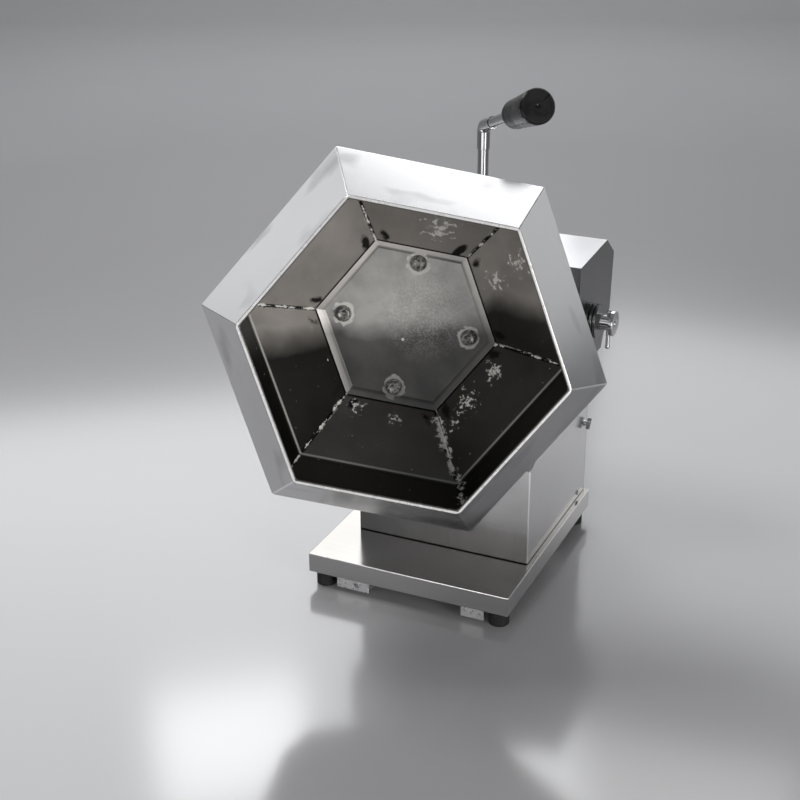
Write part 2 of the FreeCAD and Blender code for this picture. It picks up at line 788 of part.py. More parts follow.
# Folded base tray, open below, on four rubber feet with two bright clips behind the front edge
def make_base():
    outer = box(base_left_x, base_right_x, base_front_y, base_rear_y, base_top_z - base_flange, base_top_z)
    s = base_sheet
    inner = box(base_left_x + s, base_right_x - s, base_front_y + s, base_rear_y - s,
                base_top_z - base_flange, base_top_z - s)
    parts["base_tray"] = outer.cut(inner)
    under = base_top_z - base_sheet
    screws = []
    feet = []
    for x in (base_left_x + foot_inset_x, base_right_x - foot_inset_x):
        for y in (base_front_y + foot_inset_y, base_rear_y - foot_inset_y):
            foot = rod(V(x, y, 0), V(x, y, under), foot_radius)
            foot = foot.cut(rod(V(x, y, 0), V(x, y, foot_counterbore_depth), foot_counterbore_radius))
            shank = rod(V(x, y, foot_counterbore_depth), V(x, y, under), foot_screw_radius)
            foot = foot.cut(shank)
            low = foot_counterbore_depth - foot_screw_head_height
            head = rod(V(x, y, low), V(x, y, foot_counterbore_depth), foot_screw_head_radius)
            screws.append(shank.fuse(head))
            feet.append(foot)
    parts["rubber_feet"] = Part.makeCompound(feet)
    parts["foot_screws"] = Part.makeCompound(screws)
    left = base_left_x + left_clip_from_corner
    right = base_right_x - right_clip_from_corner
    parts["foot_clip_left"] = clip_shape(left, left + left_clip_width, True)
    parts["foot_clip_right"] = clip_shape(right - right_clip_width, right, False)


# Bent zinc clip: top leg under the tray, a front wall and a lip that turns back
def clip_shape(x0, x1, with_hole):
    front = base_front_y + base_sheet
    under = base_top_z - base_sheet
    clip = box(x0, x1, front, front + clip_sheet, clip_bottom_z, under)
    clip = clip.fuse(box(x0, x1, front, front + clip_depth, under - clip_sheet, under))
    clip = clip.fuse(box(x0, x1, front, front + clip_depth, clip_bottom_z, clip_bottom_z + clip_sheet))
    if with_hole:
        z = (clip_bottom_z + base_top_z - base_flange) / 2
        x = x0 + 0.6 * (x1 - x0)
        clip = clip.cut(rod(V(x, front, z), V(x, front + clip_sheet, z), clip_hole_radius))
    return clip.removeSplitter()


# Column: one folded sheet with front, sides and a top that slopes away under the drum
def make_column():
    slope_y = column_front_y + column_slope_depth

    def profile(inset_by, floor):
        t = inset_by
        return [(column_front_y + t, floor), (column_rear_y - column_sheet, floor),
                (column_rear_y - column_sheet, column_top_z - t), (slope_y, column_top_z - t),
                (column_front_y + t, column_front_top_z - t)]

    outer = prism([(column_left_x, y, z) for y, z in profile(0, base_top_z)], V(column_width, 0, 0))
    s = column_sheet
    hollow = [(column_left_x + s, y, z) for y, z in profile(s, base_top_z)]
    inner = prism(hollow, V(column_width - 2 * s, 0, 0))
    shell = outer.cut(inner)
    rear = column_rear_y - column_sheet
    for x0 in (column_left_x, column_right_x - column_lip):
        shell = shell.fuse(box(x0, x0 + column_lip, rear - s, rear, base_top_z, column_top_z))
    shell = shell.removeSplitter()
    for x_in in (cheek_left_in + cheek_foot_width / 2, cheek_right_in - cheek_foot_width / 2):
        for y in cheek_bolt_rows():
            shell = shell.cut(rod(V(x_in, y, column_top_z - s), V(x_in, y, column_top_z), cheek_bolt_radius))
    y = column_rear_y - switch_from_rear
    hole = rod(V(column_right_x - s, y, switch_z), V(column_right_x, y, switch_z), switch_bush_radius)
    shell = shell.cut(hole)
    parts["column_shell"] = shell
    cover = box(column_left_x, column_right_x, rear, column_rear_y, base_top_z, column_top_z)
    hole = rod(V(gland_x, rear, gland_z), V(gland_x, column_rear_y, gland_z), gland_bore + gland_wall)
    cover = cover.cut(hole)
    parts["rear_cover"] = cover
    screws = []
    for x in (column_left_x + cover_screw_inset, column_right_x - cover_screw_inset):
        low = base_top_z + cover_screw_from_end
        high = column_top_z - cover_screw_from_end
        for z in (low, (low + high) / 2, high):
            at = V(x, column_rear_y, z)
            screws.append(rod(at, at + Y * cover_screw_height, cover_screw_radius))
    y = column_rear_y - side_screw_from_rear
    z = base_top_z + side_screw_height
    for x, way in ((column_left_x, -1), (column_right_x, 1)):
        screws.append(rod(V(x, y, z), V(x + way * side_screw_head, y, z), side_screw_radius))
    parts["column_screws"] = Part.makeCompound(screws)


# Rotary switch on the column's side, the control box inside it, and the cable gland
def make_electrics():
    y = column_rear_y - switch_from_rear
    x = column_right_x

    def at(distance):
        return V(x + distance, y, switch_z)

    half = switch_body_size / 2
    inside = x - column_sheet
    body = box(inside - switch_body_depth, inside, y - half, y + half, switch_z - half, switch_z + half)
    body = body.fuse(rod(at(-column_sheet), at(switch_bush_length), switch_bush_radius))
    body = body.fuse(hex_nut_x(x, x + switch_nut_height, y, switch_z, switch_nut_radius))
    bore = rod(at(-spindle_depth), at(switch_bush_length), spindle_radius + running_clearance)
    parts["switch_body"] = body.cut(bore)
    knob_start = switch_bush_length + knob_gap
    knob_end = knob_start + knob_length
    knob = rod(at(knob_start), at(knob_end), knob_radius)
    knob = knob.fuse(rod(at(knob_gap - spindle_depth), at(knob_start), spindle_radius))
    wing = Part.makeBox(knob_end + wing_proud - knob_start, wing_width, wing_length,
                        V(x + knob_start, -wing_width / 2, -wing_length / 2))
    wing.rotate(V(0, 0, 0), X, -wing_lean)
    wing.translate(V(0, y, switch_z))
    parts["switch_knob"] = knob.fuse(wing)
    rear = column_rear_y
    nut = hex_nut_y(gland_x, gland_z, rear, rear + gland_nut_length, gland_nut_radius)
    inner_end = V(gland_x, rear - column_sheet - gland_tail, gland_z)
    gland = nut.fuse(rod(inner_end, V(gland_x, rear, gland_z), gland_bore + gland_wall))
    dome = Part.makeCone(gland_radius, gland_bore + gland_wall / 2, gland_length,
                         V(gland_x, rear + gland_nut_length, gland_z), Y)
    gland = gland.fuse(dome)
    outer_end = V(gland_x, rear + gland_nut_length + gland_length, gland_z)
    through = rod(inner_end, outer_end, gland_bore)
    parts["cable_gland"] = gland.cut(through)
    x0 = -control_box_width / 2
    front = column_front_y + column_sheet
    parts["control_box"] = box(x0, x0 + control_box_width, front, front + control_box_depth,
                               base_top_z, base_top_z + control_box_height)


def hex_nut_x(x0, x1, y, z, radius):
    points = []
    for k in range(6):
        angle = math.radians(60 * k)
        points.append((x0, y + radius * math.cos(angle), z + radius * math.sin(angle)))
    return prism(points, V(x1 - x0, 0, 0))


def hex_nut_y(x, z, y0, y1, radius):
    points = []
    for k in range(6):
        angle = math.radians(60 * k)
        points.append((x + radius * math.cos(angle), y0, z + radius * math.sin(angle)))
    return prism(points, V(0, y1 - y0, 0))


# Cranked handle: socket on the hood, rod, elbow, arm and a tapered grip
def make_handle():
    share = (handle_y - hood_front_y) / hood_top_depth
    roof = hood_front_top_z + share * (hood_rear_top_z - hood_front_top_z)
    foot = V(handle_x, handle_y, roof + socket_lift)
    socket = rod(foot, foot + Z * socket_flange, socket_flange_radius)
    socket = socket.fuse(rod(foot, foot + Z * socket_height, socket_radius))
    below = hood_volume(0, hood_bottom_z, far)
    pad = rod(foot - Z * socket_flange, foot, socket_flange_radius).cut(below)
    socket = socket.fuse(pad).removeSplitter()
    rod_foot = foot + Z * rod_seat
    corner = V(handle_x, handle_y, elbow_corner_z)
    rise = math.radians(arm_rise)
    heading = math.radians(arm_heading)
    way = V(math.cos(rise) * math.cos(heading), math.cos(rise) * math.sin(heading), math.sin(rise))
    rod_top = V(handle_x, handle_y, elbow_start_z + elbow_socket_depth)
    upright = rod(rod_foot, rod_top, rod_radius)
    parts["handle_socket"] = socket.cut(upright)
    parts["handle_rod"] = upright
    turn = math.radians(90 - arm_rise)
    back_off = elbow_bend_radius * math.tan(turn / 2)
    first = corner - Z * back_off
    last = corner + way * back_off
    centre_way = (way - Z * way.z).normalize()
    centre = first + centre_way * elbow_bend_radius
    middle_way = (corner - centre).normalize()
    middle = centre + middle_way * elbow_bend_radius
    start = V(handle_x, handle_y, elbow_start_z)
    path = Part.Wire([Part.LineSegment(start, first).toShape(), Part.Arc(first, middle, last).toShape(),
                      Part.LineSegment(last, corner + way * elbow_length).toShape()])
    profile = Part.Wire([Part.Circle(start, Z, elbow_radius).toShape()])
    elbow = path.makePipeShell([profile], True, False)
    arm_start = corner + way * (elbow_length - elbow_socket_depth)
    arm = rod(arm_start, corner + way * arm_length, rod_radius)
    parts["handle_elbow"] = elbow.cut(upright).cut(arm)
    parts["handle_arm"] = arm
    parts["handle_grip"] = grip_shape(corner, way).cut(arm)


# Moulded grip: narrow neck, a waist that widens towards the end, and a dimple in the end
def grip_shape(corner, way):
    start = V(0, 0, 0)
    neck_end = V(grip_neck_radius, 0, 0)
    bow = V(0.78 * grip_radius, 0, 0.1 * grip_length)
    shoulder = V(0.865 * grip_radius, 0, 0.25 * grip_length)
    waist = V(0.9 * grip_radius, 0, 0.5 * grip_length)
    belly = V(0.99 * grip_radius, 0, 0.86 * grip_length)
    rim = V(grip_radius, 0, grip_length - grip_edge)
    edge = V(grip_radius - grip_edge, 0, grip_length)
    dimple = V(grip_dimple_radius, 0, grip_length)
    pit = V(0, 0, grip_length - grip_dimple_depth)
    edges = [Part.LineSegment(start, neck_end).toShape(),
             Part.Arc(neck_end, bow, shoulder).toShape(),
             Part.LineSegment(shoulder, waist).toShape(),
             Part.LineSegment(waist, belly).toShape(),
             Part.LineSegment(belly, rim).toShape(),
             Part.LineSegment(rim, edge).toShape(),
             Part.LineSegment(edge, dimple).toShape(),
             Part.LineSegment(dimple, pit).toShape(),
             Part.LineSegment(pit, start).toShape()]
    grip = Part.Face(Part.Wire(edges)).revolve(start, Z, 360)
    grip.Placement = FreeCAD.Placement(corner + way * grip_start, FreeCAD.Rotation(Z, way))
    return grip


make_drum_panels()
make_back_plate()
make_mouth_rim()
make_hub()
make_shaft_and_bearings()
make_bearing_housing()
make_gears()
make_motor()
make_hood()
make_cheeks()
make_pivot()
make_base()
make_column()
make_electrics()
make_handle()

os.makedirs("parts", exist_ok=True)
for name, shape in parts.items():
    shape.exportStep("parts/%s.step" % name)
whole = Part.makeCompound(list(parts.values()))
bounds = whole.BoundBox
print(len(parts), "parts", bounds)
for name, shape in parts.items():
    if not shape.isValid() or shape.Volume <= 0:
        print("check", name, shape.isValid(), shape.Volume)
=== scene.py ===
import bpy
import bmesh
import math
from mathutils import Matrix, Vector


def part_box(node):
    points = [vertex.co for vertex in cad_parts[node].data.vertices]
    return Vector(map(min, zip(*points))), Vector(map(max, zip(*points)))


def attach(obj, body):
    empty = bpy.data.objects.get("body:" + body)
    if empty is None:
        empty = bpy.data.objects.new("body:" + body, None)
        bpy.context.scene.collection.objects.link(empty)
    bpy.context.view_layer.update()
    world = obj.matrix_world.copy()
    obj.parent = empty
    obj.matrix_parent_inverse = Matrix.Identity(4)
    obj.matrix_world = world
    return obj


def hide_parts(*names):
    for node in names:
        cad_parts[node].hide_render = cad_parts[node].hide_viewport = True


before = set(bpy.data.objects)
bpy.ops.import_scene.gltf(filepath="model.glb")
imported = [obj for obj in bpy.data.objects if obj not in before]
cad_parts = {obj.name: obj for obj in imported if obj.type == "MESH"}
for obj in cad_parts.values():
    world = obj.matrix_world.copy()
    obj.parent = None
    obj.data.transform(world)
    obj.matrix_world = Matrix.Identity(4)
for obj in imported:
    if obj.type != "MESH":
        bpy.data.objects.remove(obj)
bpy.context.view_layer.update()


# Camera: it stands in front and to the right of the machine, a little above it, and looks
# down on the mouth of the drum. Its place and lens give the frame of the photograph.
def add_object(name, data):
    thing = bpy.data.objects.new(name, data)
    bpy.context.scene.collection.objects.link(thing)
    return thing


camera_place = Vector((0.5467, -1.3225, 0.8351))
camera_azimuth = math.radians(24.56)
camera_elevation = math.radians(23.79)
camera_roll = math.radians(-0.21)
camera_data = bpy.data.cameras.new("studio_camera")
camera_data.sensor_width = 36.0
camera_data.lens = 66.52
camera_data.clip_end = 50.0
camera_back = Vector((math.sin(camera_azimuth) * math.cos(camera_elevation),
                      -math.cos(camera_azimuth) * math.cos(camera_elevation),
                      math.sin(camera_elevation)))
level_right = Vector((math.cos(camera_azimuth), math.sin(camera_azimuth), 0.0))
level_up = level_right.cross(-camera_back)
camera_right = level_right * math.cos(camera_roll) + level_up * math.sin(camera_roll)
camera_up = level_up * math.cos(camera_roll) - level_right * math.sin(camera_roll)
camera = add_object("studio_camera", camera_data)
camera.matrix_world = Matrix((camera_right, camera_up, camera_back)).transposed().to_4x4()
camera.location = camera_place
bpy.context.scene.camera = camera
bpy.context.scene.view_settings.view_transform = "Standard"


# Studio: a grey satin floor that curves up into a paler backdrop. It is polished enough to
# mirror the windows softly, and round the machine its tone is a little lighter, a painted pool of light
# with a drifting edge.
def new_finish(name, metallic, roughness, colour):
    finish = bpy.data.materials.new(name)
    finish.use_nodes = True
    shader = finish.node_tree.nodes["Principled BSDF"]
    shader.inputs["Metallic"].default_value = metallic
    shader.inputs["Roughness"].default_value = roughness
    shader.inputs["Base Color"].default_value = (*colour, 1.0)
    return finish, finish.node_tree, shader


def add_node(tree, kind, settings=None, **inputs):
    node = tree.nodes.new(kind)
    for key, value in (settings or {}).items():
        setattr(node, key, value)
    for key, value in inputs.items():
        socket = node.inputs[key.replace("_", " ")]
        if isinstance(value, bpy.types.NodeSocket):
            tree.links.new(value, socket)
        else:
            socket.default_value = value
    return node


def mapped(tree, vector, **changes):
    return add_node(tree, "ShaderNodeMapping", Vector=vector, **changes).outputs["Vector"]


def object_coords(tree, scale=(1.0, 1.0, 1.0), location=(0.0, 0.0, 0.0)):
    coords = tree.nodes.new("ShaderNodeTexCoord")
    return mapped(tree, coords.outputs["Object"], Scale=scale, Location=location)


def noise(tree, vector, scale, detail=3.0, roughness=0.55):
    node = add_node(tree, "ShaderNodeTexNoise", Vector=vector, Scale=scale, Detail=detail,
                    Roughness=roughness)
    return node.outputs["Fac"]


def spread(tree, value, low, high, to_low=0.0, to_high=1.0):
    node = tree.nodes.new("ShaderNodeMapRange")
    tree.links.new(value, node.inputs["Value"])
    node.inputs["From Min"].default_value = low
    node.inputs["From Max"].default_value = high
    node.inputs["To Min"].default_value = to_low
    node.inputs["To Max"].default_value = to_high
    return node.outputs["Result"]


def calc(tree, operation, first, second=0.0):
    node = tree.nodes.new("ShaderNodeMath")
    node.operation = operation
    for socket, value in zip(node.inputs, (first, second)):
        if isinstance(value, bpy.types.NodeSocket):
            tree.links.new(value, socket)
        else:
            socket.default_value = value
    return node.outputs[0]


def blend_colours(tree, factor, first, second):
    node = tree.nodes.new("ShaderNodeMix")
    node.data_type = "RGBA"
    tree.links.new(factor, node.inputs[0])
    for socket, value in ((node.inputs[6], first), (node.inputs[7], second)):
        if isinstance(value, bpy.types.NodeSocket):
            tree.links.new(value, socket)
        else:
            socket.default_value = (*value, 1.0)
    return node.outputs[2]


def colour_by(tree, shader, factor, first, second):
    tree.links.new(blend_colours(tree, factor, first, second), shader.inputs["Base Color"])


floor_finish, tree, shader = new_finish("studio_floor", 0.0, 0.14, (0.3, 0.3, 0.31))
from_middle = object_coords(tree, location=(-0.05, 0.05, 0.0))
middle_distance = add_node(tree, "ShaderNodeVectorMath", {"operation": "LENGTH"}, Vector=from_middle)
drift = noise(tree, object_coords(tree), 1.3, 2.0)
drift = spread(tree, drift, 0.3, 0.7, -0.1, 0.1)
reach = calc(tree, "ADD", middle_distance.outputs["Value"], drift)
# A painted pool of light: the floor's colour is a little lighter near the machine.
painted_light_pool = blend_colours(tree, spread(tree, reach, 0.7, 1.3), (0.34, 0.34, 0.35), (0.30, 0.30, 0.31))
colour_by(tree, shader, spread(tree, reach, 2.0, 5.0), painted_light_pool, (0.55, 0.55, 0.56))
shader.inputs["Specular IOR Level"].default_value = 1.0
sweep_mesh = bpy.data.meshes.new("studio_sweep")
sweep = add_object("studio_sweep", sweep_mesh)
bm = bmesh.new()
sweep_half_width = 6.0
sweep_front = -5.0
sweep_bend_start = 3.6
sweep_bend_radius = 1.6
sweep_bend_steps = 12
sweep_height = 4.5
profile = [(sweep_front, 0.0)]
for step in range(sweep_bend_steps + 1):
    angle = math.radians(90.0 / sweep_bend_steps * step)
    profile.append((sweep_bend_start + sweep_bend_radius * math.sin(angle),
                    sweep_bend_radius * (1.0 - math.cos(angle))))
profile.append((sweep_bend_start + sweep_bend_radius, sweep_height))
rows = []
for y, z in profile:
    row = []
    for x in (-sweep_half_width, sweep_half_width):
        row.append(bm.verts.new(Matrix.Rotation(camera_azimuth, 3, "Z") @ Vector((x, y, z))))
    rows.append(row)
for lower, upper in zip(rows, rows[1:]):
    bm.faces.new((lower[0], lower[1], upper[1], upper[0]))
bm.to_mesh(sweep_mesh)
bm.free()
sweep_mesh.shade_smooth()
sweep_mesh.materials.append(floor_finish)


# Light: two windows and a small bright one behind the machine, a box above it and one at its
# left, two low warm lamps in front, and dim panels at its left and right rear. A wash lights
# the backdrop, and the room is plain grey.
def split_axes(tree, vector):
    return add_node(tree, "ShaderNodeSeparateXYZ", Vector=vector).outputs


world = bpy.data.worlds.new("studio_room")
bpy.context.scene.world = world
world.use_nodes = True
tree = world.node_tree
coords = tree.nodes.new("ShaderNodeTexCoord")
rise = spread(tree, split_axes(tree, coords.outputs["Generated"])["Z"], -0.15, 0.75)
tree.links.new(blend_colours(tree, rise, (0.30, 0.305, 0.315), (0.36, 0.37, 0.39)),
               tree.nodes["Background"].inputs["Color"])
tree.nodes["Background"].inputs["Strength"].default_value = 0.6


def soft_light(name, place, width, height, brightness, colour=(1.0, 1.0, 1.0), target=(0.0, 0.0, 0.2)):
    data = bpy.data.lights.new(name, "AREA")
    data.shape = "RECTANGLE"
    data.size = width
    data.size_y = height
    data.energy = brightness * math.pi * width * height
    data.color = colour
    light = add_object(name, data)
    light.location = place
    light.rotation_euler = (Vector(place) - Vector(target)).to_track_quat("Z", "Y").to_euler()
    light.visible_camera = False
    return light


daylight = (0.98, 0.99, 1.0)
warm_light = (1.0, 0.97, 0.94)
soft_light("window_behind", (-1.60, 2.20, 2.00), 2.1, 1.7, 2.6, daylight)
soft_light("window_right", (-0.12, 3.10, 1.58), 1.3, 1.1, 1.5, daylight)
soft_light("window_spot", (-1.36, 1.66, 1.94), 0.45, 0.35, 4.6)
soft_light("box_above", (-0.17, 1.40, 1.75), 0.9, 0.7, 2.1)
soft_light("box_left", (-1.20, -0.15, 2.00), 0.8, 0.8, 10.0, (1.0, 0.99, 0.97))
wash = soft_light("backdrop_wash", (-1.5, 3.0, 3.2), 3.0, 0.6, 6.5, target=(-2.2, 4.8, 1.2))
wash.visible_glossy = False
soft_light("low_left", (-0.35, -1.90, 0.42), 0.8, 0.7, 4.2, warm_light)
soft_light("low_right", (1.65, -0.95, 0.42), 0.8, 0.7, 10.5, warm_light)
soft_light("panel_left", (-2.30, 0.62, 1.20), 1.0, 0.9, 0.85)
soft_light("panel_right_rear", (1.32, 2.12, 0.52), 0.9, 0.6, 0.55)
soft_light("panel_rear", (0.90, 2.50, 1.15), 0.8, 0.6, 2.4)


# Base tray: one stainless sheet, 1.5 mm thick, folded down on four sides and brushed from
# left to right. Its top folds carry a painted highlight, and its top is a darker copy of the steel,
# painted shade.
def mix_values(tree, first, first_share, second, second_share):
    return calc(tree, "ADD", calc(tree, "MULTIPLY", first, first_share),
                calc(tree, "MULTIPLY", second, second_share))


def add_bump(tree, shader, height, strength, distance):
    bump = add_node(tree, "ShaderNodeBump", Height=height, Strength=strength, Distance=distance)
    tree.links.new(bump.outputs["Normal"], shader.inputs["Normal"])


def soften_edges(piece, width, segments, limit):
    bevel = piece.modifiers.new("soft_edges", "BEVEL")
    bevel.width = width
    bevel.segments = segments
    bevel.limit_method = "ANGLE"
    bevel.angle_limit = math.radians(limit)
    bevel.harden_normals = True
    bevel.use_clamp_overlap = True


def softened(name, node, body, width, segments=2, limit=30.0):
    bm = bmesh.new()
    bm.from_mesh(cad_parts[node].data)
    bmesh.ops.remove_doubles(bm, verts=bm.verts, dist=merge_distance)
    bmesh.ops.dissolve_limit(bm, angle_limit=math.radians(0.5), verts=bm.verts, edges=bm.edges)
    mesh = bpy.data.meshes.new(name)
    bm.to_mesh(mesh)
    bm.free()
    mesh.shade_smooth()
    mesh.set_sharp_from_angle(angle=math.radians(limit))
    piece = add_object(name, mesh)
    if width > 0.0:
        soften_edges(piece, width, segments, limit)
    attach(piece, body)
    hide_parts(node)
    return piece


def roughness_by(tree, shader, value, low, high, smooth, rough):
    tree.links.new(spread(tree, value, low, high, smooth, rough), shader.inputs["Roughness"])


def brushed_steel(name, grain, light, dark, roughness=(0.19, 0.25)):
    finish, tree, shader = new_finish(name, 1.0, 0.3, light)
    fine = noise(tree, object_coords(tree, scale=grain), 1.0, 3.0, 0.7)
    broad = noise(tree, object_coords(tree, scale=tuple(0.16 * k for k in grain)), 1.0, 2.0)
    clouds = noise(tree, object_coords(tree), 6.0, 3.0)
    streaks = mix_values(tree, fine, 0.75, broad, 0.25)
    tone = mix_values(tree, streaks, 0.35, clouds, 0.65)
    colour_by(tree, shader, spread(tree, tone, 0.38, 0.62), dark, light)
    roughness_by(tree, shader, tone, 0.36, 0.64, *roughness)
    add_bump(tree, shader, fine, 0.008, 0.0002)
    return finish


# Paints a pale line beside a fold into the colour: a painted highlight.
def paint_fold_highlight(finish, beside_fold, width):
    tree = finish.node_tree
    shader = tree.nodes["Principled BSDF"]
    plain = shader.inputs["Base Color"].links[0].from_socket
    painted_fold_line = spread(tree, beside_fold, 0.5 * width, width, 1.0, 0.0)
    colour_by(tree, shader, painted_fold_line, plain, (0.97, 0.97, 0.97))


merge_distance = 1e-6
grain_along_x = (10.0, 1300.0, 1300.0)
tray_polish = (0.13, 0.18)
tray_steel = brushed_steel("tray_brushed_steel", grain_along_x, (0.60, 0.595, 0.59),
                           (0.54, 0.535, 0.53), tray_polish)
tree = tray_steel.node_tree
tray_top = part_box("base_tray")[1][2]
# The pale line along the tray's top folds is a painted highlight.
below_top = calc(tree, "SUBTRACT", tray_top, split_axes(tree, object_coords(tree))["Z"])
paint_fold_highlight(tray_steel, below_top, 0.0014)
# The tray's top faces take a darker copy of the steel: painted shade for the dark drum they mirror.
tray_top_painted_shade_steel = brushed_steel("tray_top_painted_shade_steel", grain_along_x, (0.36, 0.35, 0.335),
                               (0.30, 0.29, 0.275), tray_polish)
base_tray = softened("base_tray_sheet", "base_tray", "stand", 0.0007)
base_tray.data.materials.append(tray_steel)
base_tray.data.materials.append(tray_top_painted_shade_steel)
facing = 0.9
for face in base_tray.data.polygons:
    face.material_index = 1 if face.normal.z > facing else 0


# Rubber feet: four turned feet of black rubber, slightly dusty, each held from below by a
# recessed screw.
def dressed(name, node, body, finish, width, segments=2):
    piece = softened(name, node, body, width, segments)
    piece.data.materials.append(finish)


rubber, tree, shader = new_finish("foot_rubber", 0.0, 0.75, (0.018, 0.018, 0.019))
dust = noise(tree, object_coords(tree), 160.0, 4.0)
colour_by(tree, shader, spread(tree, dust, 0.5, 0.75), (0.006, 0.006, 0.006), (0.022, 0.021, 0.020))
add_bump(tree, shader, dust, 0.3, 0.0003)
dressed("rubber_feet_turned", "rubber_feet", "stand", rubber, 0.001)

# Foot clips: bent zinc plated strip, spangled and a little scratched. The feet's own screws
# are plated too.
zinc, tree, shader = new_finish("zinc_plate", 1.0, 0.35, (0.72, 0.72, 0.73))
flakes = add_node(tree, "ShaderNodeTexVoronoi", Vector=object_coords(tree), Scale=420.0)
flake_value = split_axes(tree, flakes.outputs["Color"])["X"]
colour_by(tree, shader, flake_value, (0.74, 0.74, 0.75), (0.84, 0.84, 0.85))
roughness_by(tree, shader, flake_value, 0.0, 1.0, 0.26, 0.36)
scratches = noise(tree, object_coords(tree, scale=(60.0, 900.0, 200.0)), 1.0, 3.0)
add_bump(tree, shader, scratches, 0.05, 0.0002)
for side in ("left", "right"):
    dressed("foot_clip_%s_strip" % side, "foot_clip_%s" % side, "stand", zinc, 0.0004)
dressed("foot_screw_heads", "foot_screws", "stand", zinc, 0.0003)

# Column: one folded stainless sheet, brushed upwards, with the rear cover screwed into its
# opening and the cheeks that carry the head bolted to its top.
grain_along_z = (1300.0, 1300.0, 10.0)
column_steel = brushed_steel("column_brushed_steel", grain_along_z, (0.60, 0.60, 0.61),
                             (0.50, 0.50, 0.51))
column_low, column_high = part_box("column_shell")
tree = column_steel.node_tree
shader = tree.nodes["Principled BSDF"]
axes = split_axes(tree, object_coords(tree))
# A pale line down the column's front right corner is a painted highlight.
beside_fold = calc(tree, "MAXIMUM", calc(tree, "SUBTRACT", column_high[0], axes["X"]),
                   calc(tree, "SUBTRACT", axes["Y"], column_low[1]))
paint_fold_highlight(column_steel, beside_fold, 0.0016)
folded = shader.inputs["Base Color"].links[0].from_socket
# A dark line along the column's foot is its weld seam and painted shade where it stands on the tray.
above_foot = calc(tree, "SUBTRACT", axes["Z"], column_low[2])
foot_weld_and_painted_shade = spread(tree, above_foot, 0.0009, 0.0017, 1.0, 0.0)
colour_by(tree, shader, foot_weld_and_painted_shade, folded, (0.03, 0.028, 0.026))
dressed("column_sheet", "column_shell", "stand", column_steel, 0.0012, 3)
dressed("rear_cover_sheet", "rear_cover", "stand", column_steel, 0.0006)
for side in ("left", "right"):
    dressed("pivot_cheek_%s_plate" % side, "pivot_cheek_%s" % side, "stand", column_steel,
            0.0006)
polished, tree, shader = new_finish("polished_turned_steel", 1.0, 0.14, (0.72, 0.72, 0.73))
wear = noise(tree, object_coords(tree), 60.0, 4.0)
roughness_by(tree, shader, wear, 0.35, 0.7, 0.10, 0.24)
colour_by(tree, shader, wear, (0.46, 0.46, 0.47), (0.74, 0.74, 0.75))
add_bump(tree, shader, noise(tree, object_coords(tree), 900.0, 2.0), 0.04, 0.0002)

# Screws: turned steel and plated heads, with their edges just broken. They hold the rear
# cover, the cheeks, the hood and the bearing housing.
for node, body, finish, slot in (("column_screws", "stand", polished, "polished"),
                                 ("cheek_bolts", "stand", zinc, "zinc"),
                                 ("hood_screws", "head", polished, "polished"),
                                 ("housing_screws", "head", polished, "polished")):
    dressed(node + "_turned", node, body, finish, 0.0003)

# Switch and cable gland: a chromed rotary switch low on the right side, a grey plastic gland
# in the rear cover, and the control box inside the column.
dressed("switch_bush_and_nut", "switch_body", "stand", polished, 0.0003)
dressed("switch_wing_knob", "switch_knob", "knob", polished, 0.0003)
grey_plastic, tree, shader = new_finish("moulded_grey_plastic", 0.0, 0.55, (0.16, 0.165, 0.17))
grain = noise(tree, object_coords(tree), 700.0, 3.0)
colour_by(tree, shader, grain, (0.14, 0.145, 0.15), (0.19, 0.195, 0.2))
add_bump(tree, shader, grain, 0.2, 0.0002)
for node in ("cable_gland", "control_box"):
    dressed(node + "_moulding", node, "stand", grey_plastic, 0.0005)

# Head: a folded stainless hood over a welded frame. The right side plate hangs below the
# hood, and the frame carries the pivot bushes, the bearing housing and the motor.
hood_steel = brushed_steel("hood_brushed_steel", grain_along_x, (0.54, 0.54, 0.55),
                           (0.47, 0.47, 0.48))
# The hood's two side faces take a darker copy of the brushed steel: painted shade.
side_painted_shade_steel = brushed_steel("hood_side_painted_shade_steel", grain_along_z, (0.26, 0.26, 0.26),
                           (0.21, 0.21, 0.21), (0.34, 0.42))
hood = softened("hood_sheet", "hood", "head", 0.0012, 3)
hood.data.materials.append(hood_steel)
hood.data.materials.append(side_painted_shade_steel)
for face in hood.data.polygons:
    face.material_index = 1 if abs(face.normal.x) > facing else 0
for name, node in (("tilt_frame_plates", "tilt_chassis"), ("side_plate_left_lug", "side_plate_left"),
                   ("side_plate_right_tongue", "side_plate_right")):
    dressed(name, node, "head", column_steel, 0.0006)
dressed("bearing_housing_casting", "bearing_housing", "head", hood_steel, 0.0008)

# Pivot and clamp: turned and polished steel, with an oiled boss and washers. The pins sit in
# the cheeks, bronze bushes turn on them, and the sleeve, cap and tommy bar clamp the head.
dark_washer, tree, shader = new_finish("oiled_washer_steel", 1.0, 0.22, (0.16, 0.16, 0.16))
oil = noise(tree, object_coords(tree), 90.0, 4.0)
colour_by(tree, shader, oil, (0.10, 0.10, 0.10), (0.24, 0.24, 0.24))
roughness_by(tree, shader, oil, 0.3, 0.7, 0.14, 0.30)
add_bump(tree, shader, oil, 0.03, 0.0002)
for name, node, body, finish in (
        ("pivot_pin_left_turned", "pivot_pin_left", "stand", polished),
        ("pivot_pin_right_turned", "pivot_pin_right", "stand", polished),
        ("pin_keeper_ring", "pin_keeper", "stand", polished),
        ("clamp_washer_stack", "clamp_washers", "stand", dark_washer),
        ("pivot_boss_turned", "pivot_boss", "head", dark_washer),
        ("clamp_sleeve_turned", "clamp_sleeve", "clamp", polished),
        ("clamp_cap_turned", "clamp_cap", "clamp", polished),
        ("tommy_bar_turned", "tommy_bar", "tommy", polished)):
    dressed(name, node, body, finish, 0.0004)
bronze, tree, shader = new_finish("sintered_bronze", 1.0, 0.4, (0.55, 0.38, 0.16))
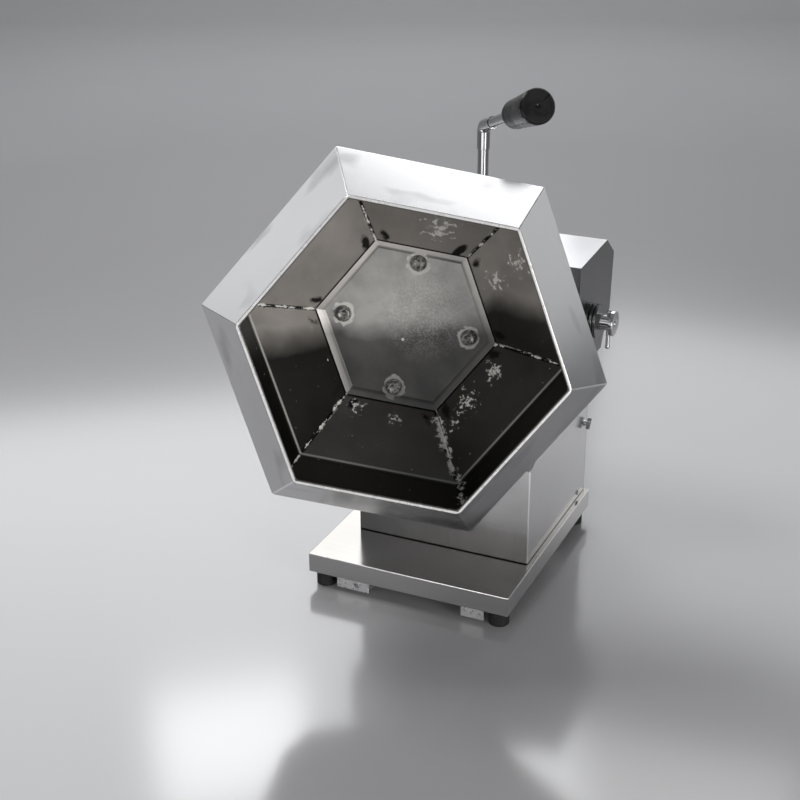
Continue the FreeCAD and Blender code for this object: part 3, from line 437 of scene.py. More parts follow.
pores = noise(tree, object_coords(tree), 1500.0, 2.0)
colour_by(tree, shader, pores, (0.42, 0.28, 0.11), (0.62, 0.44, 0.2))
add_bump(tree, shader, pores, 0.2, 0.0002)
dressed("pivot_bush_rings", "pivot_bushes", "head", bronze, 0.0002)

# Drive: hardened gears, ground bearings, and an enamelled gear motor on a zinc plated plate.
# The motor's pinion turns the gear on the drum's shaft, under the hood.
gear_steel, tree, shader = new_finish("oiled_gear_steel", 1.0, 0.32, (0.36, 0.355, 0.35))
oil = noise(tree, object_coords(tree), 70.0, 4.0)
colour_by(tree, shader, oil, (0.26, 0.25, 0.24), (0.46, 0.45, 0.44))
roughness_by(tree, shader, oil, 0.3, 0.7, 0.18, 0.42)
add_bump(tree, shader, noise(tree, object_coords(tree), 900.0, 2.0), 0.1, 0.0002)
enamel, tree, shader = new_finish("motor_enamel", 0.0, 0.4, (0.05, 0.055, 0.06))
orange_peel = noise(tree, object_coords(tree), 380.0, 3.0)
colour_by(tree, shader, orange_peel, (0.04, 0.044, 0.048), (0.07, 0.075, 0.08))
add_bump(tree, shader, orange_peel, 0.2, 0.0003)
for name, node, body, finish, slot, width in (
        ("drive_gear_cut", "drive_gear", "drum", gear_steel, "gear_steel", 0.0),
        ("drive_pinion_cut", "drive_pinion", "pinion", gear_steel, "gear_steel", 0.0),
        ("drum_shaft_ground", "drum_shaft", "drum", polished, "polished", 0.0005),
        ("shaft_bearing_rings", "shaft_bearings", "head", polished, "bearing_steel", 0.0004),
        ("motor_plate_cut", "motor_plate", "head", zinc, "zinc", 0.0004),
        ("motor_post_bars", "motor_posts", "head", zinc, "zinc", 0.0003),
        ("gearbox_casting", "gearbox", "head", enamel, "motor_paint", 0.001),
        ("motor_can", "motor_body", "head", enamel, "motor_paint", 0.001)):
    dressed(name, node, body, finish, width)

# Drum: twelve stainless panels, 2 mm thick, welded edge to edge into a six-sided shell that is
# widest in its middle. It is brushed outside and smeared here and there, with a painted highlight along
# its folds and painted shade at its front edge, where the rim bar is welded on.
# Its profile gives the radius to a corner and the place along the drum's axis.
drum_centre = Vector((0.0, -0.114, 0.309))
drum_yaw = math.radians(23.79)
drum_rise = math.radians(11.17)
drum_turn = math.radians(48.89)
drum_across = Vector((math.cos(drum_yaw), math.sin(drum_yaw), 0.0))
drum_axis = Vector((math.sin(drum_yaw) * math.cos(drum_rise),
                    -math.cos(drum_yaw) * math.cos(drum_rise),
                    math.sin(drum_rise)))
drum_upward = drum_axis.cross(drum_across)
drum_frame = Matrix((drum_across, drum_upward, drum_axis)).transposed()
drum_sides = 6
sector_angle = math.tau / drum_sides
flat_share = math.cos(sector_angle / 2)
shell_sheet = 0.002
shell_profile = ((0.097, -0.102), (0.168, -0.050), (0.200, 0.0), (0.1575, 0.067))


def from_drum(x, y, z):
    return drum_centre + drum_frame @ Vector((x, y, z))


def hexagon_ring(bm, radius, height):
    ring = []
    for k in range(drum_sides):
        angle = drum_turn + k * sector_angle
        place = from_drum(radius * math.cos(angle), radius * math.sin(angle), height)
        ring.append(bm.verts.new(place))
    return ring


def point_at(line, z):
    return (line[0] + line[2] * (z - line[1]) / line[3], z)


def inner_profile():
    lines = []
    for (start_radius, start_z), (end_radius, end_z) in zip(shell_profile, shell_profile[1:]):
        start_flat = start_radius * flat_share
        outward = end_radius * flat_share - start_flat
        forward = end_z - start_z
        length = math.hypot(outward, forward)
        lines.append((start_flat - forward / length * shell_sheet,
                      start_z + outward / length * shell_sheet, outward, forward))
    points = [point_at(lines[0], shell_profile[0][1])]
    for line, beyond in zip(lines, lines[1:]):
        cross = line[2] * beyond[3] - line[3] * beyond[2]
        share = ((beyond[0] - line[0]) * beyond[3] - (beyond[1] - line[1]) * beyond[2]) / cross
        points.append((line[0] + line[2] * share, line[1] + line[3] * share))
    points.append(point_at(lines[-1], shell_profile[-1][1]))
    return [(flat / flat_share, z) for flat, z in points]


def bridge(bm, lower, upper, slot_index=0, flip=False):
    count = len(lower)
    for k in range(count):
        corners = (lower[k], lower[(k + 1) % count], upper[(k + 1) % count], upper[k])
        face = bm.faces.new(corners[::-1] if flip else corners)
        face.material_index = slot_index


bm = bmesh.new()
outer_rings = [hexagon_ring(bm, radius, z) for radius, z in shell_profile]
inner_rings = [hexagon_ring(bm, radius, z) for radius, z in inner_profile()]
for lower, upper in zip(outer_rings, outer_rings[1:]):
    bridge(bm, lower, upper)
for lower, upper in zip(inner_rings, inner_rings[1:]):
    bridge(bm, lower, upper, 1, True)
bridge(bm, outer_rings[-1], inner_rings[-1])
bridge(bm, outer_rings[0], inner_rings[0], 0, True)
bmesh.ops.recalc_face_normals(bm, faces=bm.faces)
shell_mesh = bpy.data.meshes.new("drum_shell_panels")
bm.to_mesh(shell_mesh)
bm.free()
shell_mesh.shade_smooth()
shell_mesh.set_sharp_from_angle(angle=math.radians(20))
drum_shell = add_object("drum_shell_panels", shell_mesh)
soften_edges(drum_shell, 0.0011, 3, 10.0)
to_drum_turn = drum_frame.transposed().to_euler()


def drum_coords(tree):
    moved = object_coords(tree, location=tuple(-drum_centre))
    return mapped(tree, moved, Rotation=tuple(to_drum_turn))


def folded_angle(tree, axes, start, share):
    angle = calc(tree, "ARCTAN2", axes["Y"], axes["X"])
    angle = calc(tree, "ADD", angle, 2 * math.tau - start)
    return calc(tree, "MODULO", angle, share)


def radius_of(tree, axes):
    squares = calc(tree, "ADD", calc(tree, "MULTIPLY", axes["X"], axes["X"]),
                   calc(tree, "MULTIPLY", axes["Y"], axes["Y"]))
    return calc(tree, "SQRT", squares)


def beside_seam(tree, axes):
    within = folded_angle(tree, axes, drum_turn, sector_angle)
    to_corner = calc(tree, "MINIMUM", within, calc(tree, "SUBTRACT", sector_angle, within))
    return calc(tree, "MULTIPLY", radius_of(tree, axes), calc(tree, "SINE", to_corner))


drum_steel, tree, shader = new_finish("drum_brushed_steel", 1.0, 0.3, (0.62, 0.62, 0.63))
local = drum_coords(tree)
axes = split_axes(tree, local)
lines = noise(tree, mapped(tree, local, Scale=(700.0, 700.0, 12.0)), 1.0, 3.0, 0.7)
clouds = noise(tree, local, 6.0, 3.0)
smear = noise(tree, mapped(tree, local, Scale=(16.0, 16.0, 34.0)), 1.0, 1.5)
tone = mix_values(tree, lines, 0.3, clouds, 0.7)
clean = blend_colours(tree, spread(tree, tone, 0.38, 0.62), (0.57, 0.57, 0.58), (0.64, 0.64, 0.65))
smeared = blend_colours(tree, spread(tree, smear, 0.58, 0.74, 0.0, 0.7), clean, (0.36, 0.36, 0.37))
# A dark band at the front edge is painted shade and the weld line where the rim bar sits.
front_edge_painted_shade = spread(tree, axes["Z"], 0.0660, 0.0666)
colour_by(tree, shader, front_edge_painted_shade, smeared, (0.10, 0.10, 0.10))
roughness_by(tree, shader, tone, 0.36, 0.66, 0.17, 0.23)
add_bump(tree, shader, lines, 0.008, 0.0001)
# Pale lines along the seams and the girth are a painted highlight.
beside_girth = calc(tree, "ABSOLUTE", axes["Z"])
paint_fold_highlight(drum_steel, calc(tree, "MINIMUM", beside_seam(tree, axes), beside_girth), 0.0013)
shell_mesh.materials.append(drum_steel)


# Inside the drum the walls are dark below a wavy line and have a brown haze above it, with chalk
# from old batter in the seams and on the fold. The line and the dark below it are a painted reflection,
# where the steel turns from mirroring the bright room to mirroring the dark inside.
# Each panel has its own tone above and below the line, counted from the drum's first corner; the lower
# panels are darker above it and lighter below it. Leaf marks by the plate's corners, dark lines in the
# seams and at the plate, and the inside of the lip in front of the fold are painted shade.
def closeness(tree, distance, full, gone):
    return spread(tree, distance, full, gone, 1.0, 0.0)


def distance_to(tree, vector, place):
    away = add_node(tree, "ShaderNodeVectorMath", {"operation": "DISTANCE"})
    tree.links.new(vector, away.inputs[0])
    away.inputs[1].default_value = place
    return away.outputs["Value"]


def chalk_over(tree, shader, chalk, metal_share, gloss, dulling):
    bare = calc(tree, "SUBTRACT", 1.0, chalk)
    tree.links.new(calc(tree, "MULTIPLY", metal_share, bare), shader.inputs["Metallic"])
    dulled = calc(tree, "ADD", gloss, calc(tree, "MULTIPLY", chalk, dulling))
    tree.links.new(dulled, shader.inputs["Roughness"])


def by_panel(tree, panel, values):
    ramp = tree.nodes.new("ShaderNodeValToRGB")
    ramp.color_ramp.interpolation = "CONSTANT"
    for k, value in enumerate(values):
        start = k / drum_sides
        stop = ramp.color_ramp.elements[k] if k < 2 else ramp.color_ramp.elements.new(start)
        stop.position = start
        stop.color = (value, value, value, 1.0)
    tree.links.new(panel, ramp.inputs["Fac"])
    return ramp.outputs["Color"]


worn_and_painted_shade_steel, tree, shader = new_finish("drum_worn_and_painted_shade_steel", 0.85, 0.32, (0.4, 0.38, 0.35))
local = drum_coords(tree)
axes = split_axes(tree, local)
seam_distance = beside_seam(tree, axes)
panel = calc(tree, "DIVIDE", folded_angle(tree, axes, drum_turn, math.tau), math.tau)
tone_above_painted_horizon = by_panel(tree, panel, (1.0, 1.0, 1.0, 0.36, 0.24, 1.0))
tone_below_painted_horizon = by_panel(tree, panel, (0.05, 0.05, 0.01, 0.29, 0.16, 0.13))
grit = noise(tree, local, 420.0, 4.0, 0.75)
patches = noise(tree, local, 30.0, 5.0, 0.65)
stain = noise(tree, local, 12.0, 4.0, 0.6)
wavy = spread(tree, noise(tree, local, 14.0, 3.0), 0.3, 0.7, -0.005, 0.005)
right_side = spread(tree, axes["X"], 0.05, 0.09, 0.0, 0.035)
height = calc(tree, "SUBTRACT", calc(tree, "ADD", axes["Y"], wavy), right_side)
# The wavy line and the dark below it are a painted reflection: the steel mirrors the room above it and
# the dark inside below it.
painted_horizon_height = -0.012
above_painted_horizon = spread(tree, height, painted_horizon_height - 0.014, painted_horizon_height + 0.016)
film_tone_and_painted_reflection = calc(tree, "MULTIPLY", tone_above_painted_horizon, above_painted_horizon)
film_tone_and_painted_reflection = calc(tree, "MAXIMUM", film_tone_and_painted_reflection, tone_below_painted_horizon)
film_tone_and_painted_reflection = calc(tree, "MULTIPLY", film_tone_and_painted_reflection, spread(tree, stain, 0.3, 0.7, 0.75, 1.1))
film_and_painted_shade_colour = blend_colours(tree, film_tone_and_painted_reflection, (0.030, 0.029, 0.026), (0.60, 0.57, 0.535))
# Leaf marks near the back plate's corners are painted shadows.
shadow_mark_from_seam = 0.011
shadow_mark_height = -0.096
crease = calc(tree, "ABSOLUTE", calc(tree, "SUBTRACT", seam_distance, shadow_mark_from_seam))
foot = calc(tree, "ABSOLUTE", calc(tree, "SUBTRACT", axes["Z"], shadow_mark_height))
leaf_shadow = calc(tree, "MULTIPLY", closeness(tree, crease, 0.0, 0.006), closeness(tree, foot, 0.0, 0.009))
leaf_shadow = spread(tree, calc(tree, "MULTIPLY", leaf_shadow, spread(tree, patches, 0.40, 0.62)), 0.10, 0.35)
film_and_painted_shade_colour = blend_colours(tree, leaf_shadow, film_and_painted_shade_colour, (0.03, 0.028, 0.026))
# Dark lines in the seams and where the plate meets the walls are painted shade.
plate_joint = -0.1006
seam_painted_shade = calc(tree, "MAXIMUM", closeness(tree, seam_distance, 0.0012, 0.0022),
           closeness(tree, axes["Z"], plate_joint, plate_joint + 0.001))
film_and_painted_shade_colour = blend_colours(tree, seam_painted_shade, film_and_painted_shade_colour, (0.008, 0.008, 0.008))
inner_fold = -0.0515
lip_shade = spread(tree, axes["Z"], inner_fold - 0.001, inner_fold + 0.002, 0.0, 0.85)
film_and_painted_shade_colour = blend_colours(tree, lip_shade, film_and_painted_shade_colour, (0.015, 0.015, 0.014))
scale_marks = noise(tree, local, 95.0, 8.0, 0.72)
crusted_seam = 0.6667
from_crusted = calc(tree, "ABSOLUTE", calc(tree, "SUBTRACT", panel, crusted_seam))
worst_seam = closeness(tree, from_crusted, 0.0, 0.03)
seam_reach = calc(tree, "ADD", 0.0035, calc(tree, "MULTIPLY", worst_seam, 0.0135))
edge = calc(tree, "MULTIPLY", calc(tree, "DIVIDE", seam_distance, seam_reach), 0.24)
edge = calc(tree, "ADD", edge, spread(tree, patches, 0.35, 0.65, 0.52, 0.40))
chalk = spread(tree, calc(tree, "SUBTRACT", scale_marks, edge), 0.0, 0.05)
fold_distance = calc(tree, "ABSOLUTE", calc(tree, "SUBTRACT", axes["Z"], inner_fold))
fold_line = closeness(tree, fold_distance, 0.0003, 0.0011)
chalk = calc(tree, "MAXIMUM", chalk, calc(tree, "MULTIPLY", fold_line, 0.45))
chalk_spots = ((0.036, 0.106, -0.079, 0.034), (0.090, 0.050, -0.086, 0.020),
               (0.114, 0.072, -0.061, 0.022), (0.062, -0.075, -0.086, 0.024),
               (0.050, -0.100, -0.086, 0.016), (0.092, -0.045, -0.090, 0.018),
               (-0.052, -0.083, -0.094, 0.016), (-0.012, -0.095, -0.090, 0.013))
flecks = noise(tree, local, 190.0, 6.0, 0.68)
for x, y, z, reach in chalk_spots:
    edge = spread(tree, distance_to(tree, local, (x, y, z)), 0.0, reach, 0.45, 0.68)
    fleck = spread(tree, calc(tree, "SUBTRACT", flecks, edge), 0.0, 0.04)
    chalk = calc(tree, "MAXIMUM", chalk, fleck)
colour_by(tree, shader, chalk, film_and_painted_shade_colour, (0.97, 0.96, 0.92))
chalk_over(tree, shader, chalk, spread(tree, film_tone_and_painted_reflection, 0.1, 0.9, 0.75, 0.45),
           spread(tree, stain, 0.3, 0.7, 0.28, 0.40), 0.45)
add_bump(tree, shader, calc(tree, "ADD", chalk, calc(tree, "MULTIPLY", grit, 0.1)), 0.3, 0.0005)
shell_mesh.materials.append(worn_and_painted_shade_steel)
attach(drum_shell, "drum")
wall_panels = ["wall_panel_%d" % k for k in range(1, 7)]
front_panels = ["front_panel_%d" % k for k in range(1, 7)]
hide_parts(*wall_panels, *front_panels)


# Back plate: a dished stainless plate, pressed from one sheet and welded into the drum. It is
# mottled grey, with chalk round its bolts, a cloudy veil in its middle and a few white drops. It is dark
# below the same painted reflection line as the walls, the upper part of its sloped rim is a pale painted
# highlight, and its outer edge is painted shade.
def beside_flat(tree, axes):
    sixth = folded_angle(tree, axes, drum_turn, sector_angle)
    sixth = calc(tree, "SUBTRACT", sixth, sector_angle / 2)
    return calc(tree, "MULTIPLY", radius_of(tree, axes), calc(tree, "COSINE", sixth))


plate_face = -0.107
bolt_ring = 0.066
bolt_count = 4
bolt_step = math.tau / bolt_count
bolt_start = math.radians(78.89)
plate_steel, tree, shader = new_finish("back_plate_steel", 0.85, 0.4, (0.5, 0.5, 0.49))
local = drum_coords(tree)
axes = split_axes(tree, local)
mottle = noise(tree, local, 34.0, 6.0, 0.7)
cloud = noise(tree, local, 9.0, 4.0)
speck = noise(tree, local, 520.0, 4.0, 0.75)
wavy = spread(tree, noise(tree, local, 14.0, 3.0), 0.3, 0.7, -0.008, 0.008)
height = calc(tree, "ADD", axes["Y"], wavy)
# Dark below the painted reflection line, as on the walls.
above_painted_horizon = spread(tree, height, painted_horizon_height, painted_horizon_height + 0.022, 0.24, 1.0)
tone = mix_values(tree, mottle, 0.5, cloud, 0.5)
metal = blend_colours(tree, spread(tree, tone, 0.36, 0.64), (0.40, 0.395, 0.385), (0.66, 0.65, 0.63))
metal = blend_colours(tree, above_painted_horizon, (0.03, 0.03, 0.03), metal)
flat_distance = beside_flat(tree, axes)
slope_start = 0.0755
slope_end = 0.0826
# The upper part of the sloped rim is pale and less metallic: a painted highlight.
slope = calc(tree, "MULTIPLY", spread(tree, flat_distance, slope_start, slope_start + 0.002),
             spread(tree, axes["Y"], 0.0, 0.07, 0.1, 1.0))
metal = blend_colours(tree, slope, metal, (0.95, 0.93, 0.91))
# The dark line round the plate's edge is painted shade.
border_painted_shade = spread(tree, flat_distance, slope_end, slope_end + 0.0008)
metal = blend_colours(tree, border_painted_shade, metal, (0.008, 0.008, 0.008))
radius = radius_of(tree, axes)
quarter = folded_angle(tree, axes, bolt_start - bolt_step / 2, bolt_step)
quarter = calc(tree, "SUBTRACT", quarter, bolt_step / 2)
along = calc(tree, "MULTIPLY", radius, calc(tree, "COSINE", quarter))
along = calc(tree, "SUBTRACT", along, bolt_ring)
across = calc(tree, "MULTIPLY", radius, calc(tree, "SINE", quarter))
squares = calc(tree, "ADD", calc(tree, "MULTIPLY", along, along), calc(tree, "MULTIPLY", across, across))
bolt_distance = calc(tree, "SQRT", squares)
ragged = spread(tree, noise(tree, local, 120.0, 3.0), 0.3, 0.7, -0.0025, 0.0025)
ring_chalk = closeness(tree, calc(tree, "ADD", bolt_distance, ragged), 0.0112, 0.0124)
ring_chalk = calc(tree, "MULTIPLY", ring_chalk, spread(tree, axes["Y"], -0.07, 0.03, 0.35, 1.0))
veil = closeness(tree, distance_to(tree, local, (0.022, 0.012, plate_face)), 0.01, 0.06)
veil = spread(tree, calc(tree, "MULTIPLY", veil, cloud), 0.05, 0.40)
veil = calc(tree, "MULTIPLY", veil, spread(tree, speck, 0.46, 0.62))
chalk = calc(tree, "MAXIMUM", ring_chalk, calc(tree, "MULTIPLY", veil, 0.35))
drops = add_node(tree, "ShaderNodeTexVoronoi", Vector=local, Scale=38.0)
drop_pick = split_axes(tree, drops.outputs["Color"])["X"]
drop_size = spread(tree, drop_pick, 0.74, 1.0, 0.0, 0.12)
drop_edge = spread(tree, speck, 0.3, 0.7, -0.02, 0.02)
drop_distance = calc(tree, "ADD", drops.outputs["Distance"], drop_edge)
chalk = calc(tree, "MAXIMUM", chalk, calc(tree, "LESS_THAN", drop_distance, drop_size))
colour_by(tree, shader, chalk, metal, (0.93, 0.92, 0.89))
chalk_over(tree, shader, chalk, spread(tree, slope, 0.0, 1.0, 0.6, 0.05),
           spread(tree, tone, 0.35, 0.65, 0.30, 0.44), 0.35)
add_bump(tree, shader, calc(tree, "ADD", calc(tree, "MULTIPLY", mottle, 0.3), chalk), 0.2, 0.0006)
dressed("back_plate_dished", "back_plate", "drum", plate_steel, 0.0008)

# Mouth rim and hub: a bar of six lengths welded round the mouth, pale along its crest, a painted
# highlight, with painted shade along its edges, and the turned hub flange behind the plate.
rim_steel, tree, shader = new_finish("mouth_rim_steel", 0.35, 0.3, (0.9, 0.9, 0.91))
local = drum_coords(tree)
axes = split_axes(tree, local)
scuffs = noise(tree, local, 90.0, 4.0)
# The pale, partly diffuse crest is a painted highlight standing in for the shine of a polished bar.
crest = blend_colours(tree, scuffs, (0.92, 0.92, 0.92), (0.97, 0.97, 0.97))
flat_distance = beside_flat(tree, axes)
crest_inside = 0.1348
crest_outside = 0.1366
inner_shade = spread(tree, flat_distance, crest_inside - 0.0006, crest_inside, 0.9, 0.0)
outer_shade = spread(tree, flat_distance, crest_outside, crest_outside + 0.0004, 0.0, 0.9)
shade = calc(tree, "MAXIMUM", inner_shade, outer_shade)
colour_by(tree, shader, shade, crest, (0.05, 0.049, 0.047))
roughness_by(tree, shader, scuffs, 0.35, 0.7, 0.24, 0.36)
dressed("mouth_rim_bar", "mouth_rim", "drum", rim_steel, 0.0012, 3)
turned_steel = brushed_steel("turned_hub_steel", (300.0, 300.0, 300.0), (0.58, 0.58, 0.59),
                             (0.50, 0.50, 0.51))
dressed("drum_hub_turned", "drum_hub", "drum", turned_steel, 0.0008)

# Hub bolts: four stainless hexagon bolts on washers hold the plate to the hub. Their heads
# are chamfered, grey with dried batter, and each has a nut behind the flange.
heads_tree = bpy.data.node_groups.new("heads_on_points", "GeometryNodeTree")
for label, kind in (("Points", "NodeSocketGeometry"), ("Head", "NodeSocketObject"),
                    ("Axis", "NodeSocketVector"), ("Turn Seed", "NodeSocketInt"),
                    ("Finish", "NodeSocketMaterial")):
    heads_tree.interface.new_socket(label, in_out="INPUT", socket_type=kind)
heads_tree.interface.new_socket("Heads", in_out="OUTPUT", socket_type="NodeSocketGeometry")
given = heads_tree.nodes.new("NodeGroupInput")
head_info = add_node(heads_tree, "GeometryNodeObjectInfo", Object=given.outputs["Head"])
aim = add_node(heads_tree, "FunctionNodeAlignRotationToVector", {"axis": "Z"},
               Vector=given.outputs["Axis"])
any_turn = add_node(heads_tree, "FunctionNodeRandomValue", Seed=given.outputs["Turn Seed"])
any_turn.inputs[2].default_value = 0.0
any_turn.inputs[3].default_value = math.pi
twist = heads_tree.nodes.new("FunctionNodeAxisAngleToRotation")
heads_tree.links.new(any_turn.outputs[1], twist.inputs["Angle"])
turned = add_node(heads_tree, "FunctionNodeRotateRotation", {"rotation_space": "LOCAL"},
                  Rotation=aim.outputs["Rotation"], Rotate_By=twist.outputs["Rotation"])
placed = add_node(heads_tree, "GeometryNodeInstanceOnPoints", Points=given.outputs["Points"],
                  Instance=head_info.outputs["Geometry"], Rotation=turned.outputs["Rotation"])
real = add_node(heads_tree, "GeometryNodeRealizeInstances", Geometry=placed.outputs["Instances"])
coated = add_node(heads_tree, "GeometryNodeSetMaterial", Geometry=real.outputs["Geometry"],
                  Material=given.outputs["Finish"])
add_node(heads_tree, "NodeGroupOutput", Heads=coated.outputs["Geometry"])


def made_by(tree, name, mesh, values):
    base = add_object(name, mesh)
    modifier = base.modifiers.new("maker", "NODES")
    modifier.node_group = tree
    for item in tree.interface.items_tree:
        if item.in_out == "INPUT" and item.name in values:
            modifier[item.identifier] = values[item.name]
    seen = base.evaluated_get(bpy.context.evaluated_depsgraph_get())
    plain = bpy.data.meshes.new_from_object(seen)
    base.modifiers.remove(modifier)
    base.data = plain
    return base


bolt_washer_radius = 0.0085
bolt_washer_height = 0.0016
washer_points = 28
washer_steps = ((0.45, 0.0), (0.94, 0.0), (1.0, 0.25), (1.0, 0.75), (0.94, 1.0), (0.45, 1.0))
bm = bmesh.new()
rings = []
for share, rise in washer_steps:
    ring = []
    for k in range(washer_points):
        angle = math.tau * k / washer_points
        ring.append(bm.verts.new((bolt_washer_radius * share * math.cos(angle),
                                  bolt_washer_radius * share * math.sin(angle),
                                  bolt_washer_height * rise)))
    rings.append(ring)
for lower, upper in zip(rings, rings[1:] + rings[:1]):
    bridge(bm, lower, upper)
bolt_head_radius = 0.0072
bolt_head_height = 0.005
head_points = 36
head_flat = math.tau / 6
chamfer_start = 0.8
head_steps = ((1.0, 0.0), (1.0, 0.72), (0.93, 0.92), (0.80, 1.0), (0.60, 1.0), (0.55, 0.93),
              (0.2, 0.93))
rings = []
for share, rise in head_steps:
    ring = []
    for k in range(head_points):
        angle = math.tau * k / head_points
        hexagon = math.cos(head_flat / 2) / math.cos(angle % head_flat - head_flat / 2)
        rounded = share * (0.35 + 0.65 * hexagon)
        reach = bolt_head_radius * min(share, hexagon if rise < chamfer_start else rounded)
        ring.append(bm.verts.new((reach * math.cos(angle), reach * math.sin(angle),
                                  bolt_washer_height + bolt_head_height * rise)))
    rings.append(ring)
for lower, upper in zip(rings, rings[1:]):
    bridge(bm, lower, upper)
bm.faces.new(rings[-1])
bm.faces.new(rings[0][::-1])
bmesh.ops.recalc_face_normals(bm, faces=bm.faces)
head_mesh = bpy.data.meshes.new("hub_bolt_head")
bm.to_mesh(head_mesh)
bm.free()
head_mesh.shade_smooth()
head_edge = math.radians(35)
head_mesh.set_sharp_from_angle(angle=head_edge)
bolt_head = bpy.data.objects.new("hub_bolt_head", head_mesh)
bolt_steel, tree, shader = new_finish("crusted_bolt_steel", 0.9, 0.4, (0.5, 0.49, 0.47))
crust = noise(tree, object_coords(tree), 420.0, 5.0, 0.7)
colour_by(tree, shader, spread(tree, crust, 0.38, 0.62), (0.09, 0.088, 0.085), (0.50, 0.49, 0.47))
tree.links.new(spread(tree, crust, 0.45, 0.65, 0.9, 0.2), shader.inputs["Metallic"])
roughness_by(tree, shader, crust, 0.35, 0.65, 0.28, 0.6)
add_bump(tree, shader, crust, 0.4, 0.0004)
points = []
for k in range(bolt_count):
    angle = bolt_start + k * bolt_step
    place = from_drum(bolt_ring * math.cos(angle), bolt_ring * math.sin(angle), plate_face)
    points.append(tuple(place))
points_mesh = bpy.data.meshes.new("hub_bolt_points")
points_mesh.from_pydata(points, [], [])
hub_bolts = made_by(heads_tree, "hub_bolts_with_nuts", points_mesh,
                    {"Head": bolt_head, "Axis": tuple(drum_axis), "Turn Seed": 3, "Finish": bolt_steel})
bm = bmesh.new()
bm.from_mesh(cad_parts["hub_bolts"].data)
bmesh.ops.remove_doubles(bm, verts=bm.verts, dist=merge_distance)
shank_top = from_drum(0.0, 0.0, plate_face - 0.0008)
bmesh.ops.bisect_plane(bm, geom=bm.verts[:] + bm.edges[:] + bm.faces[:], plane_co=shank_top,
                       plane_no=drum_axis, clear_outer=True)
bmesh.ops.holes_fill(bm, edges=bm.edges, sides=0)
for face in bm.faces:
    face.material_index = 1
bm.from_mesh(hub_bolts.data)
bm.to_mesh(hub_bolts.data)
bm.free()
hub_bolts.data.materials.append(polished)
hub_bolts.data.set_sharp_from_angle(angle=head_edge)
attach(hub_bolts, "drum")
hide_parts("hub_bolts")

# Welds: a fine ragged bead runs up each seam inside the drum, from the back plate to the
# shoulder. It is left rough and has turned pale with dried batter.
bead_tree = bpy.data.node_groups.new("bead_on_seams", "GeometryNodeTree")
for label, kind in (("Seams", "NodeSocketGeometry"), ("Bead Radius", "NodeSocketFloat"),
                    ("Ripple Length", "NodeSocketFloat"), ("Ripple Seed", "NodeSocketFloat"),
                    ("Finish", "NodeSocketMaterial")):
    bead_tree.interface.new_socket(label, in_out="INPUT", socket_type=kind)
bead_tree.interface.new_socket("Beads", in_out="OUTPUT", socket_type="NodeSocketGeometry")
given = bead_tree.nodes.new("NodeGroupInput")
line = add_node(bead_tree, "GeometryNodeMeshToCurve", Mesh=given.outputs["Seams"])
steps = add_node(bead_tree, "GeometryNodeResampleCurve", {"mode": "LENGTH"},
                 Curve=line.outputs["Curve"], Length=given.outputs["Ripple Length"])
ripple = add_node(bead_tree, "ShaderNodeTexNoise", {"noise_dimensions": "4D"},
                  W=given.outputs["Ripple Seed"], Scale=210.0, Detail=4.0)
width = spread(bead_tree, ripple.outputs["Fac"], 0.35, 0.65, 0.25, 1.3)
size = calc(bead_tree, "MULTIPLY", width, given.outputs["Bead Radius"])
section = add_node(bead_tree, "GeometryNodeCurvePrimitiveCircle", Resolution=7)
tube = add_node(bead_tree, "GeometryNodeCurveToMesh", Curve=steps.outputs["Curve"],
                Profile_Curve=section.outputs["Curve"], Scale=size, Fill_Caps=True)
real = add_node(bead_tree, "GeometryNodeRealizeInstances", Geometry=tube.outputs["Mesh"])
coated = add_node(bead_tree, "GeometryNodeSetMaterial", Geometry=real.outputs["Geometry"],
                  Material=given.outputs["Finish"])
add_node(bead_tree, "NodeGroupOutput", Beads=coated.outputs["Geometry"])
bead_finish, tree, shader = new_finish("chalky_weld_bead", 0.2, 0.6, (0.4, 0.39, 0.37))
crust = noise(tree, object_coords(tree), 260.0, 5.0, 0.7)
colour_by(tree, shader, spread(tree, crust, 0.42, 0.58), (0.05, 0.048, 0.045), (0.62, 0.60, 0.57))
add_bump(tree, shader, crust, 0.5, 0.0005)
bead_offset = 0.014
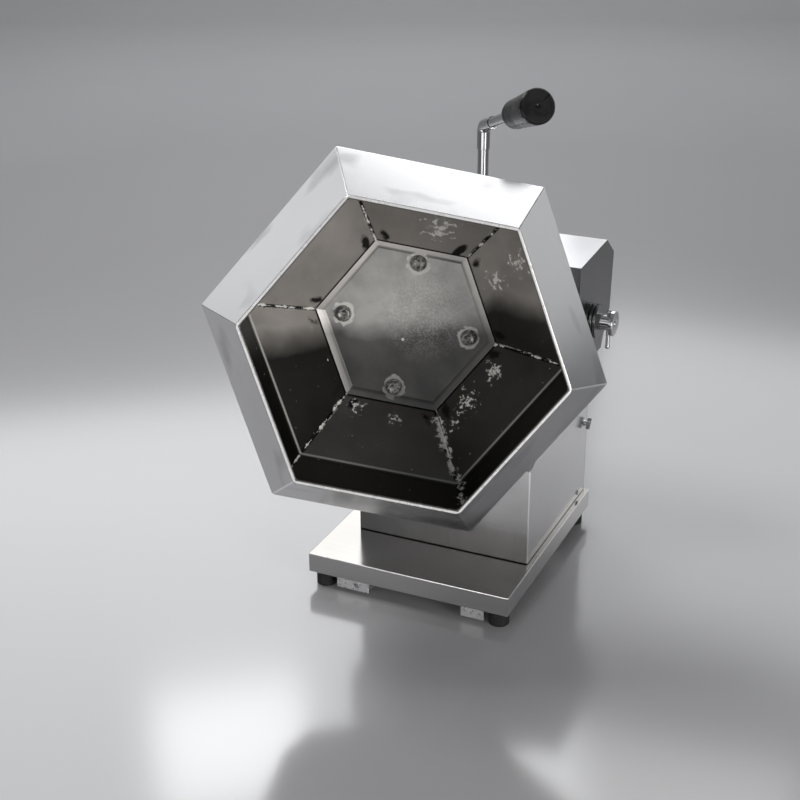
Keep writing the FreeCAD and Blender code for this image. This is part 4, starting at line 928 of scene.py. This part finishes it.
seam_ends = inner_profile()[:2]
bm = bmesh.new()
for k in range(drum_sides):
    angle = drum_turn + k * sector_angle + bead_offset
    ends = []
    for radius, height in seam_ends:
        place = from_drum(radius * math.cos(angle), radius * math.sin(angle), height)
        ends.append(bm.verts.new(place))
    bm.edges.new(ends)
seam_mesh = bpy.data.meshes.new("seam_lines")
bm.to_mesh(seam_mesh)
bm.free()
beads = made_by(bead_tree, "seam_weld_beads", seam_mesh,
                {"Bead Radius": 0.0009, "Ripple Length": 0.0016, "Ripple Seed": 4.0,
                 "Finish": bead_finish})
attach(beads, "drum")

# Handle: a chromed rod in a turned socket on the hood, a bent elbow tube, an arm pushed into
# it, and a moulded grip of black plastic with flat ends.
chrome, tree, shader = new_finish("handle_chrome", 1.0, 0.1, (0.44, 0.44, 0.45))
rubbed = noise(tree, object_coords(tree), 40.0, 4.0)
roughness_by(tree, shader, rubbed, 0.35, 0.7, 0.07, 0.16)
colour_by(tree, shader, rubbed, (0.38, 0.38, 0.39), (0.52, 0.52, 0.53))
add_bump(tree, shader, rubbed, 0.02, 0.0002)
for name, node in (("handle_socket_turned", "handle_socket"), ("handle_rod_chromed", "handle_rod"),
                   ("handle_elbow_tube", "handle_elbow"), ("handle_arm_chromed", "handle_arm")):
    dressed(name, node, "head", chrome, 0.0004)
grip_plastic, tree, shader = new_finish("black_grip_plastic", 0.0, 0.3, (0.008, 0.008, 0.009))
shader.inputs["Specular IOR Level"].default_value = 0.3
texture = noise(tree, object_coords(tree), 500.0, 3.0)
colour_by(tree, shader, texture, (0.003, 0.003, 0.003), (0.006, 0.006, 0.006))
roughness_by(tree, shader, noise(tree, object_coords(tree), 60.0, 3.0), 0.35, 0.7, 0.24, 0.42)
add_bump(tree, shader, texture, 0.08, 0.0002)
grip = softened("handle_grip_moulding", "handle_grip", "head", 0.0, 2, 20.0)
grip.data.materials.append(grip_plastic)
end_face_corners = 8
for face in grip.data.polygons:
    face.use_smooth = len(face.vertices) < end_face_corners
